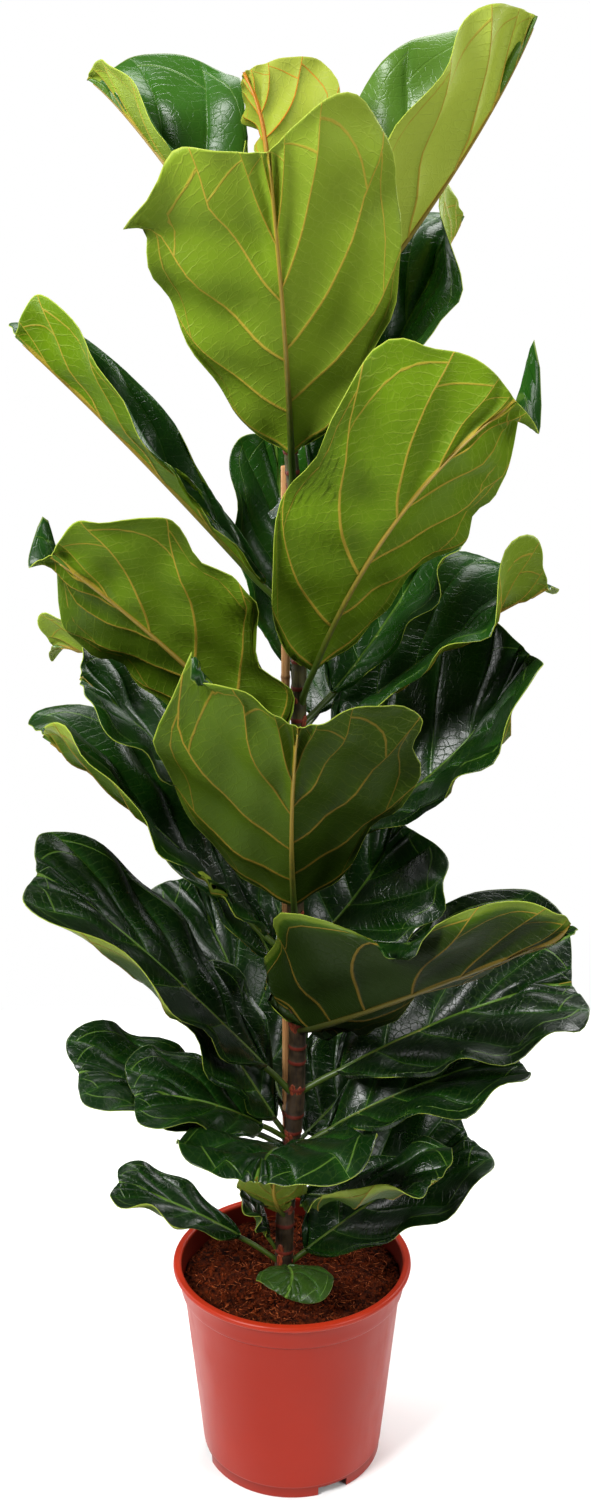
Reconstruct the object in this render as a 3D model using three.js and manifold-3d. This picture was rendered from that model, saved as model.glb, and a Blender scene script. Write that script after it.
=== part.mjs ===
// A potted fiddle leaf fig, in millimetres. The origin is on the floor under the pot's centre,
// +X is to the right, +Y goes away from the front and +Z is up.
import * as THREE from "three";
import { mergeVertices } from "three/addons/utils/BufferGeometryUtils.js";
import Module from "manifold-3d";

const wasm = await Module();
wasm.setup();

// Driving dimensions of the pot
const POT_HEIGHT = 190;
const POT_RIM_RADIUS = 105;
const POT_FOOT_RADIUS = 79;
const POT_WALL = 2;
const POT_SIDES = 44;
const POT_FLOOR_UNDERSIDE = 9;
const POT_FLOOR_TOP = 11.5;
const POT_HUB_RADIUS = 16;
const SLOT_ANGLES = [15, 117, 195, 297];
const SLOT_WIDTH = 28;
const SLOT_HEIGHT = 9;

// Driving dimensions of what stands in it
const GAP = 0.35;
const SOIL_TOP = 172;
const SOIL_ROUGHNESS = 2;
const HOLE_DEPTH = 32;
const STEM_SIDES = 10;
const STEM_RADIUS_LOW = 8.5;
const STEM_RADIUS_TOP = 4.5;
const STEM_SCAR = 0.8;
const STEM_SCAR_STEP = 26;
const CANE_CENTRE = [-5, 13.2];
const CANE_RADIUS = 3.5;
const CANE_TOP = 885;
const CLIP_BOTTOM = 853;
const CLIP_HEIGHT = 7;
const CLIP_WALL = 1.4;
const BLADE_THICKNESS = 1.2;
const KEEL_HEIGHT = 2.2;
const BLADE_ROWS = 8;
const VEIN_BEND = 0.52;
const VEIN_RISE = 0.3;
const BASE_SHARE = 0.18;

// The stem's axis: it leans left at the foot, comes upright and leans left again at the top.
const STEM_AXIS = [
  [-8, 0, 130], [-6, 0, 240], [3, 0, 343], [5, 0, 400], [3, 0, 523],
  [6, 0, 728], [1, 0, 875], [-9, 0, 1000], [-16, 0, 1085],
];

const RIGHT = 1;
const LEFT = -1;

// Every leaf starts on the stem at its height, and its midrib passes through middle and ends at tip.
// left and right are the half widths, face is the direction it grows in, seen from above, with 0
// to the right and 90 away from the front. fold is the V between its halves, roll and tipRoll turn
// it about its midrib, edge curls its margins, and a tug pulls one margin out, along or up.
const LEAVES = [
  { name: "leaf_01", height: 1075, middle: [-20, -5, 1130], tip: [-35, 5, 1170], left: 60,
    right: 35, stalk: 15, face: 270, roll: 35, fold: 35, endShape: 0.45, notch: -0.05,
    tugs: [[LEFT, 0.7, 0, 12, 0, 0.25]], young: true },
  { name: "leaf_02", height: 1000, middle: [-105, 50, 1120], tip: [-155, 70, 1170], left: 55,
    right: 76, face: 165, roll: 20, tipRoll: -30, fold: 40, waist: 0.4, endShape: 0.45, notch: 0,
    tugs: [[RIGHT, 0.55, 10, 10, 0, 0.12]] },
  { name: "leaf_03", height: 870, middle: [-5, -90, 995.5], tip: [-15, -140, 1110], left: 92,
    right: 92, face: 270, fold: 6, notchLeft: 0.28, notchRight: 0.02,
    tugs: [[RIGHT, 0.86, 26, -16, 0, 0.05], [RIGHT, 1, 4, 42, 0, 0.045], [RIGHT, 0.97, -4, 0, -26, 0.12], [LEFT, 0.95, 0, 0, 22, 0.16], [LEFT, 0.6, -6, 0, 0, 0.15]] },
  { name: "leaf_04", height: 945, middle: [115, 15, 1095], tip: [180, 30, 1210], left: 95,
    right: 92, face: 10, roll: -9, tipRoll: 22, fold: 45, endShape: 0.5, notch: -0.02,
    tugs: [[RIGHT, 0.95, 0, 15, 0, 0.08]] },
  { name: "leaf_05", height: 830, middle: [85, 50, 980], tip: [135, 80, 1070], left: 75,
    right: 55, face: 40, roll: -20, tipRoll: 60, fold: 30 },
  { name: "leaf_06", height: 768, middle: [-110, -10, 890], tip: [-205, -20, 985], left: 62,
    right: 42, face: 180, roll: 20, tipRoll: -45, fold: 36, waist: 0.3, notch: 0.1 },
  { name: "leaf_07", height: 684, middle: [-5, 50, 805], tip: [-14, 66, 900], left: 44, right: 55,
    stalk: 36, face: 100, fold: 10, waist: -0.2 },
  { name: "leaf_08", height: 700, middle: [68, -80, 846], tip: [158, -100, 946], left: 78,
    right: 94, face: 288, fold: 8, baseShape: 0.68, notchLeft: 0.05, notchRight: 0,
    tugs: [[RIGHT, 0.84, 8, 10, 0, 0.07], [RIGHT, 0.6, -14, 0, 0, 0.1], [RIGHT, 0.98, 0, -30, 0, 0.06], [LEFT, 0.92, -80, 88, 70, 0.06]] },
  { name: "leaf_09", height: 680, middle: [65, 30, 740], tip: [120, 40, 830], left: 70, right: 60,
    face: 20, roll: -25, fold: 25 },
  { name: "leaf_10", height: 650, middle: [110, 25, 730], tip: [205, 30, 785], left: 75,
    right: 82, face: 5, roll: -16, tipRoll: 55, fold: 20 },
  { name: "leaf_11", height: 670, middle: [45, 110, 692], tip: [85, 172, 724], left: 60,
    right: 55, face: 60, roll: -5, fold: 20 },
  { name: "leaf_12", height: 570, middle: [115, 10, 635], tip: [190, 10, 735], left: 95,
    right: 95, face: -5, roll: -28, fold: 20 },
  { name: "leaf_13", height: 610, middle: [105, 75, 655], tip: [183, 108, 712], left: 60,
    right: 55, stalk: 60, face: 35, roll: -23, fold: 12 },
  { name: "leaf_14", height: 480, middle: [50, 40, 510], tip: [94, 55, 576], left: 85, right: 85,
    stalk: 14, face: 40, roll: -22, fold: 15, waist: -0.2 },
  { name: "leaf_15", height: 510, middle: [0, -85, 620], tip: [5, -145, 720], left: 92,
    right: 100, stalk: 28, face: 270, fold: 8, notchLeft: 0.12, notchRight: 0.25,
    tugs: [[RIGHT, 0.98, -10, 68, 0, 0.06], [RIGHT, 0.84, 6, 4, -12, 0.08], [LEFT, 0.93, 24, -4, 10, 0.09], [LEFT, 1, 0, 0, 22, 0.08], [LEFT, 0.66, 12, 0, 0, 0.09]] },
  { name: "leaf_16", height: 640, middle: [-92, -70, 758], tip: [-172, -110, 836], left: 82,
    right: 58, face: 215, roll: -45, tipRoll: 0, fold: 8, baseShape: 0.65, endShape: 0.4,
    tugs: [[LEFT, 0.86, 6, 0, 0, 0.06], [LEFT, 0.97, -28, 0, 0, 0.07], [LEFT, 0.68, -14, 0, 0, 0.08], [LEFT, 0.54, -4, 0, 0, 0.06], [LEFT, 0.28, -42, 0, 0, 0.1], [LEFT, 0.1, 34, -10, 0, 0.07], [RIGHT, 0.93, -70, 64, 60, 0.08]] },
  { name: "leaf_17", height: 615, middle: [-122, 84, 694], tip: [-205, 112, 716], left: 50,
    right: 50, face: 170, roll: 5, tipRoll: -50, fold: 20 },
  { name: "leaf_18", height: 570, middle: [-105, -18, 668], tip: [-160, -50, 732], left: 68,
    right: 56, face: 190, roll: 22, fold: 10 },
  { name: "leaf_19", height: 474, middle: [-110, -45, 610], tip: [-190, -70, 690], left: 72,
    right: 75, face: 195, roll: 16, tipRoll: -25, fold: 12, waist: 0.3 },
  { name: "leaf_20", height: 440, middle: [-70, 45, 555], tip: [-120, 75, 620], left: 60,
    right: 60, face: 165, roll: 22, fold: 12 },
  { name: "leaf_21", height: 353, middle: [-120, -40, 500], tip: [-200, -60, 575], left: 85,
    right: 62, face: 190, roll: 20, fold: 6, cupLeft: 0, edgeLeft: 1.3 },
  { name: "leaf_22", height: 318, middle: [-52, 85, 420], tip: [-95, 130, 497], left: 80,
    right: 85, stalk: 16, face: 145, roll: 8, fold: 10 },
  { name: "leaf_23", height: 310, middle: [-48, 0, 385], tip: [-88, 20, 450], left: 68, right: 48,
    stalk: 20, face: 170, roll: 18, fold: 12 },
  { name: "leaf_24", height: 300, middle: [-105, -20, 360], tip: [-175, -40, 395], left: 60,
    right: 54, face: 185, roll: 12, fold: 8, wave: 8, curl: -15, waist: -0.2 },
  { name: "leaf_25", height: 308, middle: [-66, -41, 362], tip: [-128, -65, 383], left: 52,
    right: 52, face: 200, roll: 15, fold: 5, waist: -0.15 },
  { name: "leaf_26", height: 292, middle: [-14, -93, 350], tip: [-27, -168, 367], left: 90,
    right: 72, stalk: 44, face: 270, fold: 4, curl: 0 },
  { name: "leaf_27", height: 186, middle: [-75, -10, 235], tip: [-150, -10, 270], left: 38,
    right: 28, stalk: 45, face: 180, roll: 15, fold: 4, edgeLeft: 1 },
  { name: "leaf_28", height: 195, middle: [-29, -6, 230], tip: [-46, -16, 270], left: 32,
    right: 32, stalk: 20, face: 200, roll: 20, fold: 10 },
  { name: "leaf_29", height: 255, middle: [60, -70, 295], tip: [115, -110, 330], left: 60,
    right: 60, stalk: 22, face: -35, roll: -5, fold: 5, edgeRight: 1.5, wave: 7 },
  { name: "leaf_30", height: 184, middle: [70, 0, 245], tip: [155, 20, 295], left: 75, right: 70,
    stalk: 20, face: 10, roll: -25, fold: 15 },
  { name: "leaf_31", height: 184, middle: [0, -45, 200], tip: [-5, -70, 195], left: 36, right: 30,
    stalk: 12, face: 265, fold: 0, wave: 1, waist: 0, notch: -0.05 },
  { name: "leaf_32", height: 296, middle: [90, -10, 355], tip: [190, -10, 390], left: 70,
    right: 70, face: 0, roll: -15, fold: 12 },
  { name: "leaf_33", height: 353, middle: [130, 0, 420], tip: [235, 0, 455], left: 100, right: 85,
    face: 0, roll: -25, fold: 12 },
  { name: "leaf_34", height: 412, middle: [70, -120, 490], tip: [180, -200, 575], left: 60,
    right: 82, stalk: 24, face: -60, roll: 42, twist: -34, fold: 21, wave: 9, waves: 2,
    phase: 0.1, waist: -0.15, baseShape: 0.4, endShape: 0.55, lobe: 120,
    tugs: [[RIGHT, 0.95, 0, 0, 25, 0.1], [RIGHT, 0.72, -50, 0, 0, 0.19], [RIGHT, 0.26, 14, 0, 0, 0.22]] },
  { name: "leaf_35", height: 235, middle: [-15, -38, 272], tip: [-14, -62, 304], left: 29,
    right: 31, stalk: 10, face: 270, fold: 5, wave: 3, waist: 0.45, notch: -0.05 },
  { name: "leaf_36", height: 300, middle: [40, 40, 322], tip: [82, 78, 352], left: 58, right: 62,
    stalk: 14, face: 60, roll: -15, fold: 12 },
];

// What a leaf has when its entry above leaves it out
const USUAL_LEAF = {
  stalk: 35, roll: 0, twist: 0, tipRoll: 0, fold: 18, cup: 0.25, edge: 0,
  wave: 6, waves: 2.5, phase: 0, curl: 0, curlFrom: 0.7, waist: 0.1,
  baseShape: 0.75, endShape: 0.3, notch: 0.1, lobe: 0, tugs: [],
};

const GREEN = material("#1f5a2a", 0.35);
const YOUNG_GREEN = material("#9bb52e", 0.45);
const STEM_BROWN = material("#4a3a22", 0.7);
const TAN = material("#c89a62", 0.7);
const CLEAR = material("#d8e4e6", 0.1);
const TERRACOTTA = material("#b5442c", 0.4);
const SOIL_BROWN = material("#4a2718", 0.95);

function material(color, roughness) {
  return new THREE.MeshStandardMaterial({ color, roughness, metalness: 0 });
}

function radians(degrees) {
  return (degrees * Math.PI) / 180;
}

function clamp(value, low, high) {
  return Math.min(Math.max(value, low), high);
}

function vector(list) {
  return new THREE.Vector3(list[0], list[1], list[2]);
}

// A closed geometry as a solid: its shared corners are merged, and triangles that collapse go.
function solidOf(geometry) {
  geometry.deleteAttribute("normal");
  geometry.deleteAttribute("uv");
  const merged = mergeVertices(geometry, 1e-3);
  const index = merged.index.array;
  const triangles = [];
  for (let i = 0; i < index.length; i += 3) {
    const corners = [index[i], index[i + 1], index[i + 2]];
    if (new Set(corners).size === 3) triangles.push(...corners);
  }
  const mesh = new wasm.Mesh({
    numProp: 3,
    vertProperties: merged.attributes.position.array,
    triVerts: new Uint32Array(triangles),
  });
  return new wasm.Manifold(mesh);
}

function meshOf(solid, name, look) {
  const made = solid.getMesh();
  const geometry = new THREE.BufferGeometry();
  geometry.setAttribute("position", new THREE.BufferAttribute(made.vertProperties, 3));
  geometry.setIndex(new THREE.BufferAttribute(made.triVerts, 1));
  const mesh = new THREE.Mesh(geometry, look);
  mesh.name = name;
  return mesh;
}

// A closed cylinder bent along a path, with a radius of its own at every point of the path
function tube(path, radii, sides) {
  const last = path.length - 1;
  const steep = Math.abs(path[last].z - path[0].z) > 0.9 * path[0].distanceTo(path[last]);
  const reference = steep ? new THREE.Vector3(1, 0, 0) : new THREE.Vector3(0, 0, 1);
  const rings = path.map((centre, i) => {
    const before = path[Math.max(i - 1, 0)];
    const along = path[Math.min(i + 1, last)].clone().sub(before).normalize();
    const side = along.clone().cross(reference).normalize();
    return { centre, side, up: side.clone().cross(along), radius: radii[i] };
  });
  const geometry = new THREE.CylinderGeometry(1, 1, 1, sides, last);
  const corners = geometry.attributes.position;
  for (let i = 0; i < corners.count; i++) {
    const { centre, side, up, radius } = rings[Math.round((corners.getY(i) + 0.5) * last)];
    const place = centre.clone().addScaledVector(side, radius * corners.getX(i));
    place.addScaledVector(up, radius * corners.getZ(i));
    corners.setXYZ(i, place.x, place.y, place.z);
  }
  return solidOf(geometry);
}

function rod(radius, bottom, top, x, y, sides) {
  return tube([new THREE.Vector3(x, y, bottom), new THREE.Vector3(x, y, top)], [radius, radius], sides);
}

// A profile of [radius, height] pairs turned about the Z axis. It starts and ends on the axis.
function turned(profile, sides) {
  const outline = profile.map(([radius, height]) => new THREE.Vector2(radius, height));
  return new THREE.LatheGeometry(outline, sides).rotateX(Math.PI / 2);
}

// A box centred on x, y, z: it is tilted about Y first and then turned about Z, in degrees.
function box(sizeX, sizeY, sizeZ, x, y, z, turn = 0, tilt = 0) {
  const geometry = new THREE.BoxGeometry(sizeX, sizeY, sizeZ);
  geometry.rotateY(radians(tilt)).rotateZ(radians(turn)).translate(x, y, z);
  return solidOf(geometry);
}

// The outline of a tight loop round several circles of [x, y, radius]
function loopRound(circles, sides) {
  const outline = [];
  for (let k = 0; k < sides; k++) {
    const angle = (2 * Math.PI * (k + 0.5)) / sides;
    const direction = new THREE.Vector2(Math.cos(angle), Math.sin(angle));
    const reach = circles.map(([x, y, radius]) => x * direction.x + y * direction.y + radius);
    const [x, y, radius] = circles[reach.indexOf(Math.max(...reach))];
    outline.push(new THREE.Vector2(x, y).addScaledVector(direction, radius));
  }
  return outline;
}

// The pot's outer wall radius at a height between the foot and the band under the rim
function potRadius(height) {
  return POT_FOOT_RADIUS + 1.5 + ((height - 12) / 151) * 15;
}

function makePot() {
  const lip = POT_RIM_RADIUS;
  const profile = [
    [0, POT_FLOOR_UNDERSIDE],
    [POT_FOOT_RADIUS - POT_WALL, POT_FLOOR_UNDERSIDE],
    [POT_FOOT_RADIUS - POT_WALL, 0],
    [POT_FOOT_RADIUS, 0],
    [POT_FOOT_RADIUS + 0.7, 11],
    [potRadius(12), 12],
    [potRadius(90), 90],
    [potRadius(163), 163],
    [98.5, 166],
    [101, 183.5],
    [lip - 1.5, 184.5],
    [lip, 186],
    [lip, 188.5],
    [lip - 1.5, POT_HEIGHT],
    [lip - 6, POT_HEIGHT],
    [lip - 7.2, 188.6],
    [96.5, 166],
    [potRadius(90) - POT_WALL, 90],
    [potRadius(POT_FLOOR_TOP) - POT_WALL, POT_FLOOR_TOP],
    [0, POT_FLOOR_TOP],
  ];
  let pot = solidOf(turned(profile, POT_SIDES)).add(rod(POT_HUB_RADIUS, 0, 10, 0, 0, 24));
  for (const angle of SLOT_ANGLES) {
    const x = POT_FOOT_RADIUS * Math.cos(radians(angle));
    const y = POT_FOOT_RADIUS * Math.sin(radians(angle));
    pot = pot.subtract(box(12, SLOT_WIDTH, 2 * SLOT_HEIGHT, x, y, -0.5, angle));
  }
  return meshOf(pot, "pot", TERRACOTTA);
}

// Small repeatable ups and downs of the soil, from -1 to 1
function roughness(x, y) {
  return 0.5 * Math.sin(0.11 * x + 1.3) * Math.cos(0.13 * y) + 0.5 * Math.sin(0.23 * y - 0.17 * x);
}

function makeSoil(holes) {
  const inner = (height) => potRadius(height) - POT_WALL - 0.7;
  const profile = [
    [0, POT_FLOOR_TOP + 0.3],
    [inner(12), POT_FLOOR_TOP + 0.3],
    [inner(90), 90],
    [95.6, 166],
    [95.9, SOIL_TOP - 1],
    [74, SOIL_TOP],
    [40, SOIL_TOP],
    [0, SOIL_TOP],
  ];
  const geometry = turned(profile, POT_SIDES);
  const corners = geometry.attributes.position;
  for (let i = 0; i < corners.count; i++) {
    const [x, y, z] = [corners.getX(i), corners.getY(i), corners.getZ(i)];
    if (z > SOIL_TOP - 2) corners.setZ(i, z + SOIL_ROUGHNESS * roughness(x, y));
  }
  return meshOf(solidOf(geometry).subtract(holes), "soil", SOIL_BROWN);
}

function stemCentre(height) {
  const last = STEM_AXIS.length - 1;
  let i = 0;
  while (i < last - 1 && STEM_AXIS[i + 1][2] < height) i++;
  const low = STEM_AXIS[i];
  const high = STEM_AXIS[i + 1];
  const share = clamp((height - low[2]) / (high[2] - low[2]), 0, 1);
  const x = low[0] + (high[0] - low[0]) * share;
  const y = low[1] + (high[1] - low[1]) * share;
  return new THREE.Vector3(x, y, height);
}

function stemRadius(height) {
  const low = STEM_AXIS[0][2];
  const high = STEM_AXIS[STEM_AXIS.length - 1][2];
  const share = clamp((height - low) / (high - low), 0, 1);
  return STEM_RADIUS_LOW + (STEM_RADIUS_TOP - STEM_RADIUS_LOW) * share;
}

// The stem's tube, with a slightly thicker ring at every leaf scar. extra makes it fatter.
function stemSolid(extra) {
  const path = [];
  const radii = [];
  const bottom = SOIL_TOP - HOLE_DEPTH;
  const top = STEM_AXIS[STEM_AXIS.length - 1][2];
  for (let i = 0; bottom + i * STEM_SCAR_STEP < top - 10; i++) {
    const height = bottom + i * STEM_SCAR_STEP;
    path.push(stemCentre(i ? height : height - extra));
    radii.push(stemRadius(height) + (i % 2 ? STEM_SCAR : 0) + extra);
  }
  path.push(stemCentre(top), stemCentre(top).add(new THREE.Vector3(-2, 0, 16)));
  radii.push(STEM_RADIUS_TOP + extra, 1.2 + extra);
  return tube(path, radii, STEM_SIDES);
}

function caneSolid(extra) {
  const [x, y] = CANE_CENTRE;
  return rod(CANE_RADIUS + extra, SOIL_TOP - HOLE_DEPTH - extra, CANE_TOP + extra, x, y, 10);
}

// A clear band round the stem and the cane, with two small finger tabs at its left
function makeClip() {
  const middle = CLIP_BOTTOM + CLIP_HEIGHT / 2;
  const stem = stemCentre(middle);
  const [x, y] = CANE_CENTRE;
  const stemHole = stemRadius(middle) + STEM_SCAR + GAP;
  const loop = (wall) => loopRound([[stem.x, stem.y, stemHole + wall], [x, y, CANE_RADIUS + GAP + wall]], 24);
  const extrude = (shape, depth) => new THREE.ExtrudeGeometry(shape, { depth, bevelEnabled: false });
  const band = extrude(new THREE.Shape(loop(CLIP_WALL)), CLIP_HEIGHT).translate(0, 0, CLIP_BOTTOM);
  const hollow = extrude(new THREE.Shape(loop(0)), 5 * CLIP_HEIGHT);
  let clip = solidOf(band);
  for (const [turn, shift] of [[8, -5], [32, -2]])
    clip = clip.add(box(15, 1.4, 6, stem.x - 12.5, stem.y + shift, middle - 3, turn, -38));
  clip = clip.subtract(solidOf(hollow.translate(0, 0, CLIP_BOTTOM - 2 * CLIP_HEIGHT)));
  return meshOf(clip, "clip", CLEAR);
}

// The midrib: a smooth arc from the stem through middle to tip, with the blade's own directions
// at every station: along it, to its right side, and up from its upper face.
function midribOf(leaf) {
  const centre = stemCentre(leaf.height);
  const middle = vector(leaf.middle);
  const tip = vector(leaf.tip);
  const outwards = middle.clone().sub(centre).setZ(0).normalize();
  const start = centre.clone().addScaledVector(outwards, 0.6 * stemRadius(leaf.height));
  const pull = middle.clone().multiplyScalar(2).addScaledVector(start, -0.5).addScaledVector(tip, -0.5);
  const arc = [];
  const lengths = [0];
  for (let i = 0; i < 400; i++) {
    const t = (1.6 * i) / 399;
    const point = start.clone().multiplyScalar((1 - t) ** 2);
    point.addScaledVector(pull, 2 * t * (1 - t)).addScaledVector(tip, t * t);
    arc.push(point);
    if (i) lengths.push(lengths[i - 1] + point.distanceTo(arc[i - 1]));
  }
  const toTip = 399 / 1.6;
  const whole = Math.floor(toTip);
  const total = lengths[whole] + (toTip - whole) * (lengths[whole + 1] - lengths[whole]);
  const blade = total - leaf.stalk;
  const count = 60;
  const step = (1.25 * total) / count;
  const samples = [];
  for (let i = 0, j = 0; i <= count; i++) {
    while (j < 398 && lengths[j + 1] < i * step) j++;
    const share = clamp((i * step - lengths[j]) / (lengths[j + 1] - lengths[j]), 0, 1);
    samples.push(arc[j].clone().lerp(arc[j + 1], share));
  }
  const facing = radians(leaf.face);
  const level = new THREE.Vector3(Math.sin(facing), -Math.cos(facing), 0);
  const stations = samples.map((point, i) => {
    const before = samples[Math.max(i - 1, 0)];
    const after = samples[Math.min(i + 1, count)];
    const along = after.clone().sub(before).normalize();
    const side = level.clone().addScaledVector(along, -along.dot(level)).normalize();
    const up = side.clone().cross(along);
    const u = clamp((i * step - leaf.stalk) / blade, 0, 1.2);
    const late = clamp((u - leaf.curlFrom) / (1 - leaf.curlFrom), 0, 1.2) ** 1.5;
    const bend = radians(leaf.curl) * late;
    along.multiplyScalar(Math.cos(bend)).addScaledVector(up, Math.sin(bend));
    const upper = side.clone().cross(along);
    const tipTurn = leaf.tipRoll * clamp((u - 0.7) / 0.3, 0, 1.2) ** 1.5;
    const turn = radians(leaf.roll + leaf.twist * u + tipTurn);
    const rolledSide = side.clone().multiplyScalar(Math.cos(turn));
    rolledSide.addScaledVector(upper, Math.sin(turn));
    return { along, side: rolledSide, up: rolledSide.clone().cross(along) };
  });
  stations.forEach((station, i) => {
    if (i === 0) {
      station.point = samples[0].clone();
      return;
    }
    const previous = stations[i - 1];
    const heading = previous.along.clone().add(station.along).normalize();
    station.point = previous.point.clone().addScaledVector(heading, step);
  });
  const at = (distance) => {
    const place = clamp(distance / step, 0, count - 0.001);
    const i = Math.floor(place);
    const mix = (key) => stations[i][key].clone().lerp(stations[i + 1][key], place - i);
    const along = mix("along").normalize();
    const side = mix("side");
    side.addScaledVector(along, -side.dot(along)).normalize();
    return { point: mix("point"), along, side, up: side.clone().cross(along) };
  };
  return { at, blade };
}

// The point of the blade's middle layer at x to one side and y along the midrib
function bladePoint(leaf, midrib, x, y) {
  const frame = midrib.at(leaf.stalk + y);
  if (x === 0) return frame.point;
  const side = x > 0 ? RIGHT : LEFT;
  const half = side === RIGHT ? leaf.right : leaf.left;
  const distance = Math.abs(x);
  const u = clamp(y / midrib.blade, -0.1, 1.1);
  const ending = side === RIGHT ? "Right" : "Left";
  const cup = leaf["cup" + ending] ?? leaf.cup;
  const edge = leaf["edge" + ending] ?? leaf.edge;
  const slope = (q) => radians(leaf.fold) + cup * q + edge * q ** 3;
  let out = 0;
  let rise = 0;
  for (let i = 0; i < 8; i++) {
    const angle = slope((distance * (i + 0.5)) / 8 / half);
    out += (Math.cos(angle) * distance) / 8;
    rise += (Math.sin(angle) * distance) / 8;
  }
  const q = distance / half;
  const angle = slope(q);
  const up = frame.side.clone().multiplyScalar(-side * Math.sin(angle));
  up.addScaledVector(frame.up, Math.cos(angle));
  const outwards = frame.side.clone().multiplyScalar(side * Math.cos(angle));
  outwards.addScaledVector(frame.up, Math.sin(angle));
  const phase = side === RIGHT ? leaf.phase : leaf.phase + 0.37;
  const swing = Math.sin(2 * Math.PI * (leaf.waves * u + phase)) * clamp(4 * u, 0, 1);
  const point = frame.point.clone().addScaledVector(frame.side, side * out);
  point.addScaledVector(frame.up, rise).addScaledVector(up, leaf.wave * q * q * swing);
  for (const [tugSide, where, sideways, forwards, upwards, reach] of leaf.tugs) {
    if (tugSide !== side) continue;
    const share = q ** 2.5 * Math.exp(-(((u - where) / reach) ** 2));
    point.addScaledVector(outwards, share * sideways);
    point.addScaledVector(frame.along, share * forwards).addScaledVector(up, share * upwards);
  }
  return point;
}

// The flat outline of one half, from the stalk's end to the tip, as points at equal shares
function outlineOf(leaf, midrib, side) {
  const half = side === RIGHT ? leaf.right : leaf.left;
  const ending = side === RIGHT ? "Right" : "Left";
  const notch = leaf["notch" + ending] ?? leaf.notch;
  const peak = leaf.baseShape / (leaf.baseShape + leaf.endShape);
  const most = peak ** leaf.baseShape * (1 - peak) ** leaf.endShape;
  const points = [];
  const lengths = [0];
  for (let i = 0; i < 600; i++) {
    const t = i < 300 ? (0.9 * i) / 299 : 1 - 0.1 * (1 - (i - 299) / 300) ** 3;
    const shape = t ** leaf.baseShape * Math.max(1 - t, 0) ** leaf.endShape;
    const waist = 1 - leaf.waist * Math.exp(-(((t - 0.3) / 0.14) ** 2));
    const x = (half * shape * waist) / most;
    const back = Math.exp(-(((t - 0.09) / 0.07) ** 2)) - Math.exp(-((0.09 / 0.07) ** 2));
    const y = t * midrib.blade + (notch * midrib.blade * t ** 6 * x) / half - leaf.lobe * back;
    points.push([x, y]);
    if (i) lengths.push(lengths[i - 1] + Math.hypot(x - points[i - 1][0], y - points[i - 1][1]));
  }
  return (share) => {
    const wanted = share * lengths[599];
    let i = 0;
    while (i < 598 && lengths[i + 1] < wanted) i++;
    const part = clamp((wanted - lengths[i]) / (lengths[i + 1] - lengths[i]), 0, 1);
    const [a, b] = [points[i], points[i + 1]];
    return [a[0] + (b[0] - a[0]) * part, a[1] + (b[1] - a[1]) * part];
  };
}

// The rows of one half follow its side veins: each starts on the midrib and bends out to the margin.
function rowsOf(leaf, midrib, side, count) {
  const outline = outlineOf(leaf, midrib, side);
  const rows = [{ from: 0, to: outline(BASE_SHARE / 2), straight: true }];
  for (let i = 0; i <= count; i++) {
    const m = i / count;
    const share = BASE_SHARE + (1 - BASE_SHARE) * (1 - (1 - m) ** 2);
    rows.push({ from: m * midrib.blade, to: outline(share), straight: false });
  }
  return rows.map(({ from, to, straight }) => {
    const bendX = straight ? to[0] / 2 : VEIN_BEND * to[0];
    const bendY = straight ? (from + to[1]) / 2 : from + VEIN_RISE * (to[1] - from);
    return (r) => [
      2 * r * (1 - r) * bendX + r * r * to[0],
      (1 - r) ** 2 * from + 2 * r * (1 - r) * bendY + r * r * to[1],
    ];
  });
}

// The blade: the same triangles on its upper and lower face, with a keel under the midrib
function bladeSolid(leaf, midrib, count) {
  const columns = [0, 0.04, 0.5, 1];
  const places = new Map();
  const sheet = [];
  const faces = [];
  for (const side of [RIGHT, LEFT]) {
    const rows = rowsOf(leaf, midrib, side, count);
    const last = rows.length - 1;
    const corner = (i, j) => {
      const onMidrib = j === 0 || i === last;
      const [x, y] = rows[i](i === last ? 0 : columns[j]);
      const key = onMidrib ? "midrib " + y.toFixed(3) : side + " " + i + " " + j;
      if (!places.has(key)) {
        const point = bladePoint(leaf, midrib, onMidrib ? 0 : side * x, y);
        const keel = onMidrib ? KEEL_HEIGHT * (1 - clamp(y / midrib.blade, 0, 1)) ** 0.7 : 0;
        places.set(key, sheet.length);
        sheet.push({ point, keel });
      }
      return places.get(key);
    };
    for (let i = 0; i < last; i++)
      for (let j = 0; j < columns.length - 1; j++) {
        const [a, b] = [corner(i, j), corner(i, j + 1)];
        const [c, d] = [corner(i + 1, j + 1), corner(i + 1, j)];
        for (const face of [[a, b, c], [a, c, d]])
          if (new Set(face).size === 3) faces.push(side === RIGHT ? face : face.reverse());
      }
  }
  const middle = new THREE.BufferGeometry().setFromPoints(sheet.map(({ point }) => point));
  middle.setIndex(faces.flat()).computeVertexNormals();
  const half = BLADE_THICKNESS / 2;
  const shifted = (k, distance) => {
    const normal = new THREE.Vector3().fromBufferAttribute(middle.attributes.normal, k);
    return sheet[k].point.clone().addScaledVector(normal, distance);
  };
  const upper = sheet.map((_, k) => shifted(k, half));
  const lower = sheet.map(({ keel }, k) => shifted(k, -half - keel));
  const n = sheet.length;
  const triangles = [];
  const borders = new Set();
  for (const [a, b, c] of faces) {
    triangles.push([a, b, c], [a + n, c + n, b + n]);
    for (const [from, to] of [[a, b], [b, c], [c, a]]) borders.add(from + " " + to);
  }
  for (const border of borders) {
    const [from, to] = border.split(" ").map(Number);
    if (borders.has(to + " " + from)) continue;
    triangles.push([from, from + n, to + n], [from, to + n, to]);
  }
  const geometry = new THREE.BufferGeometry().setFromPoints([...upper, ...lower]);
  return solidOf(geometry.setIndex(triangles.flat()));
}

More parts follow.
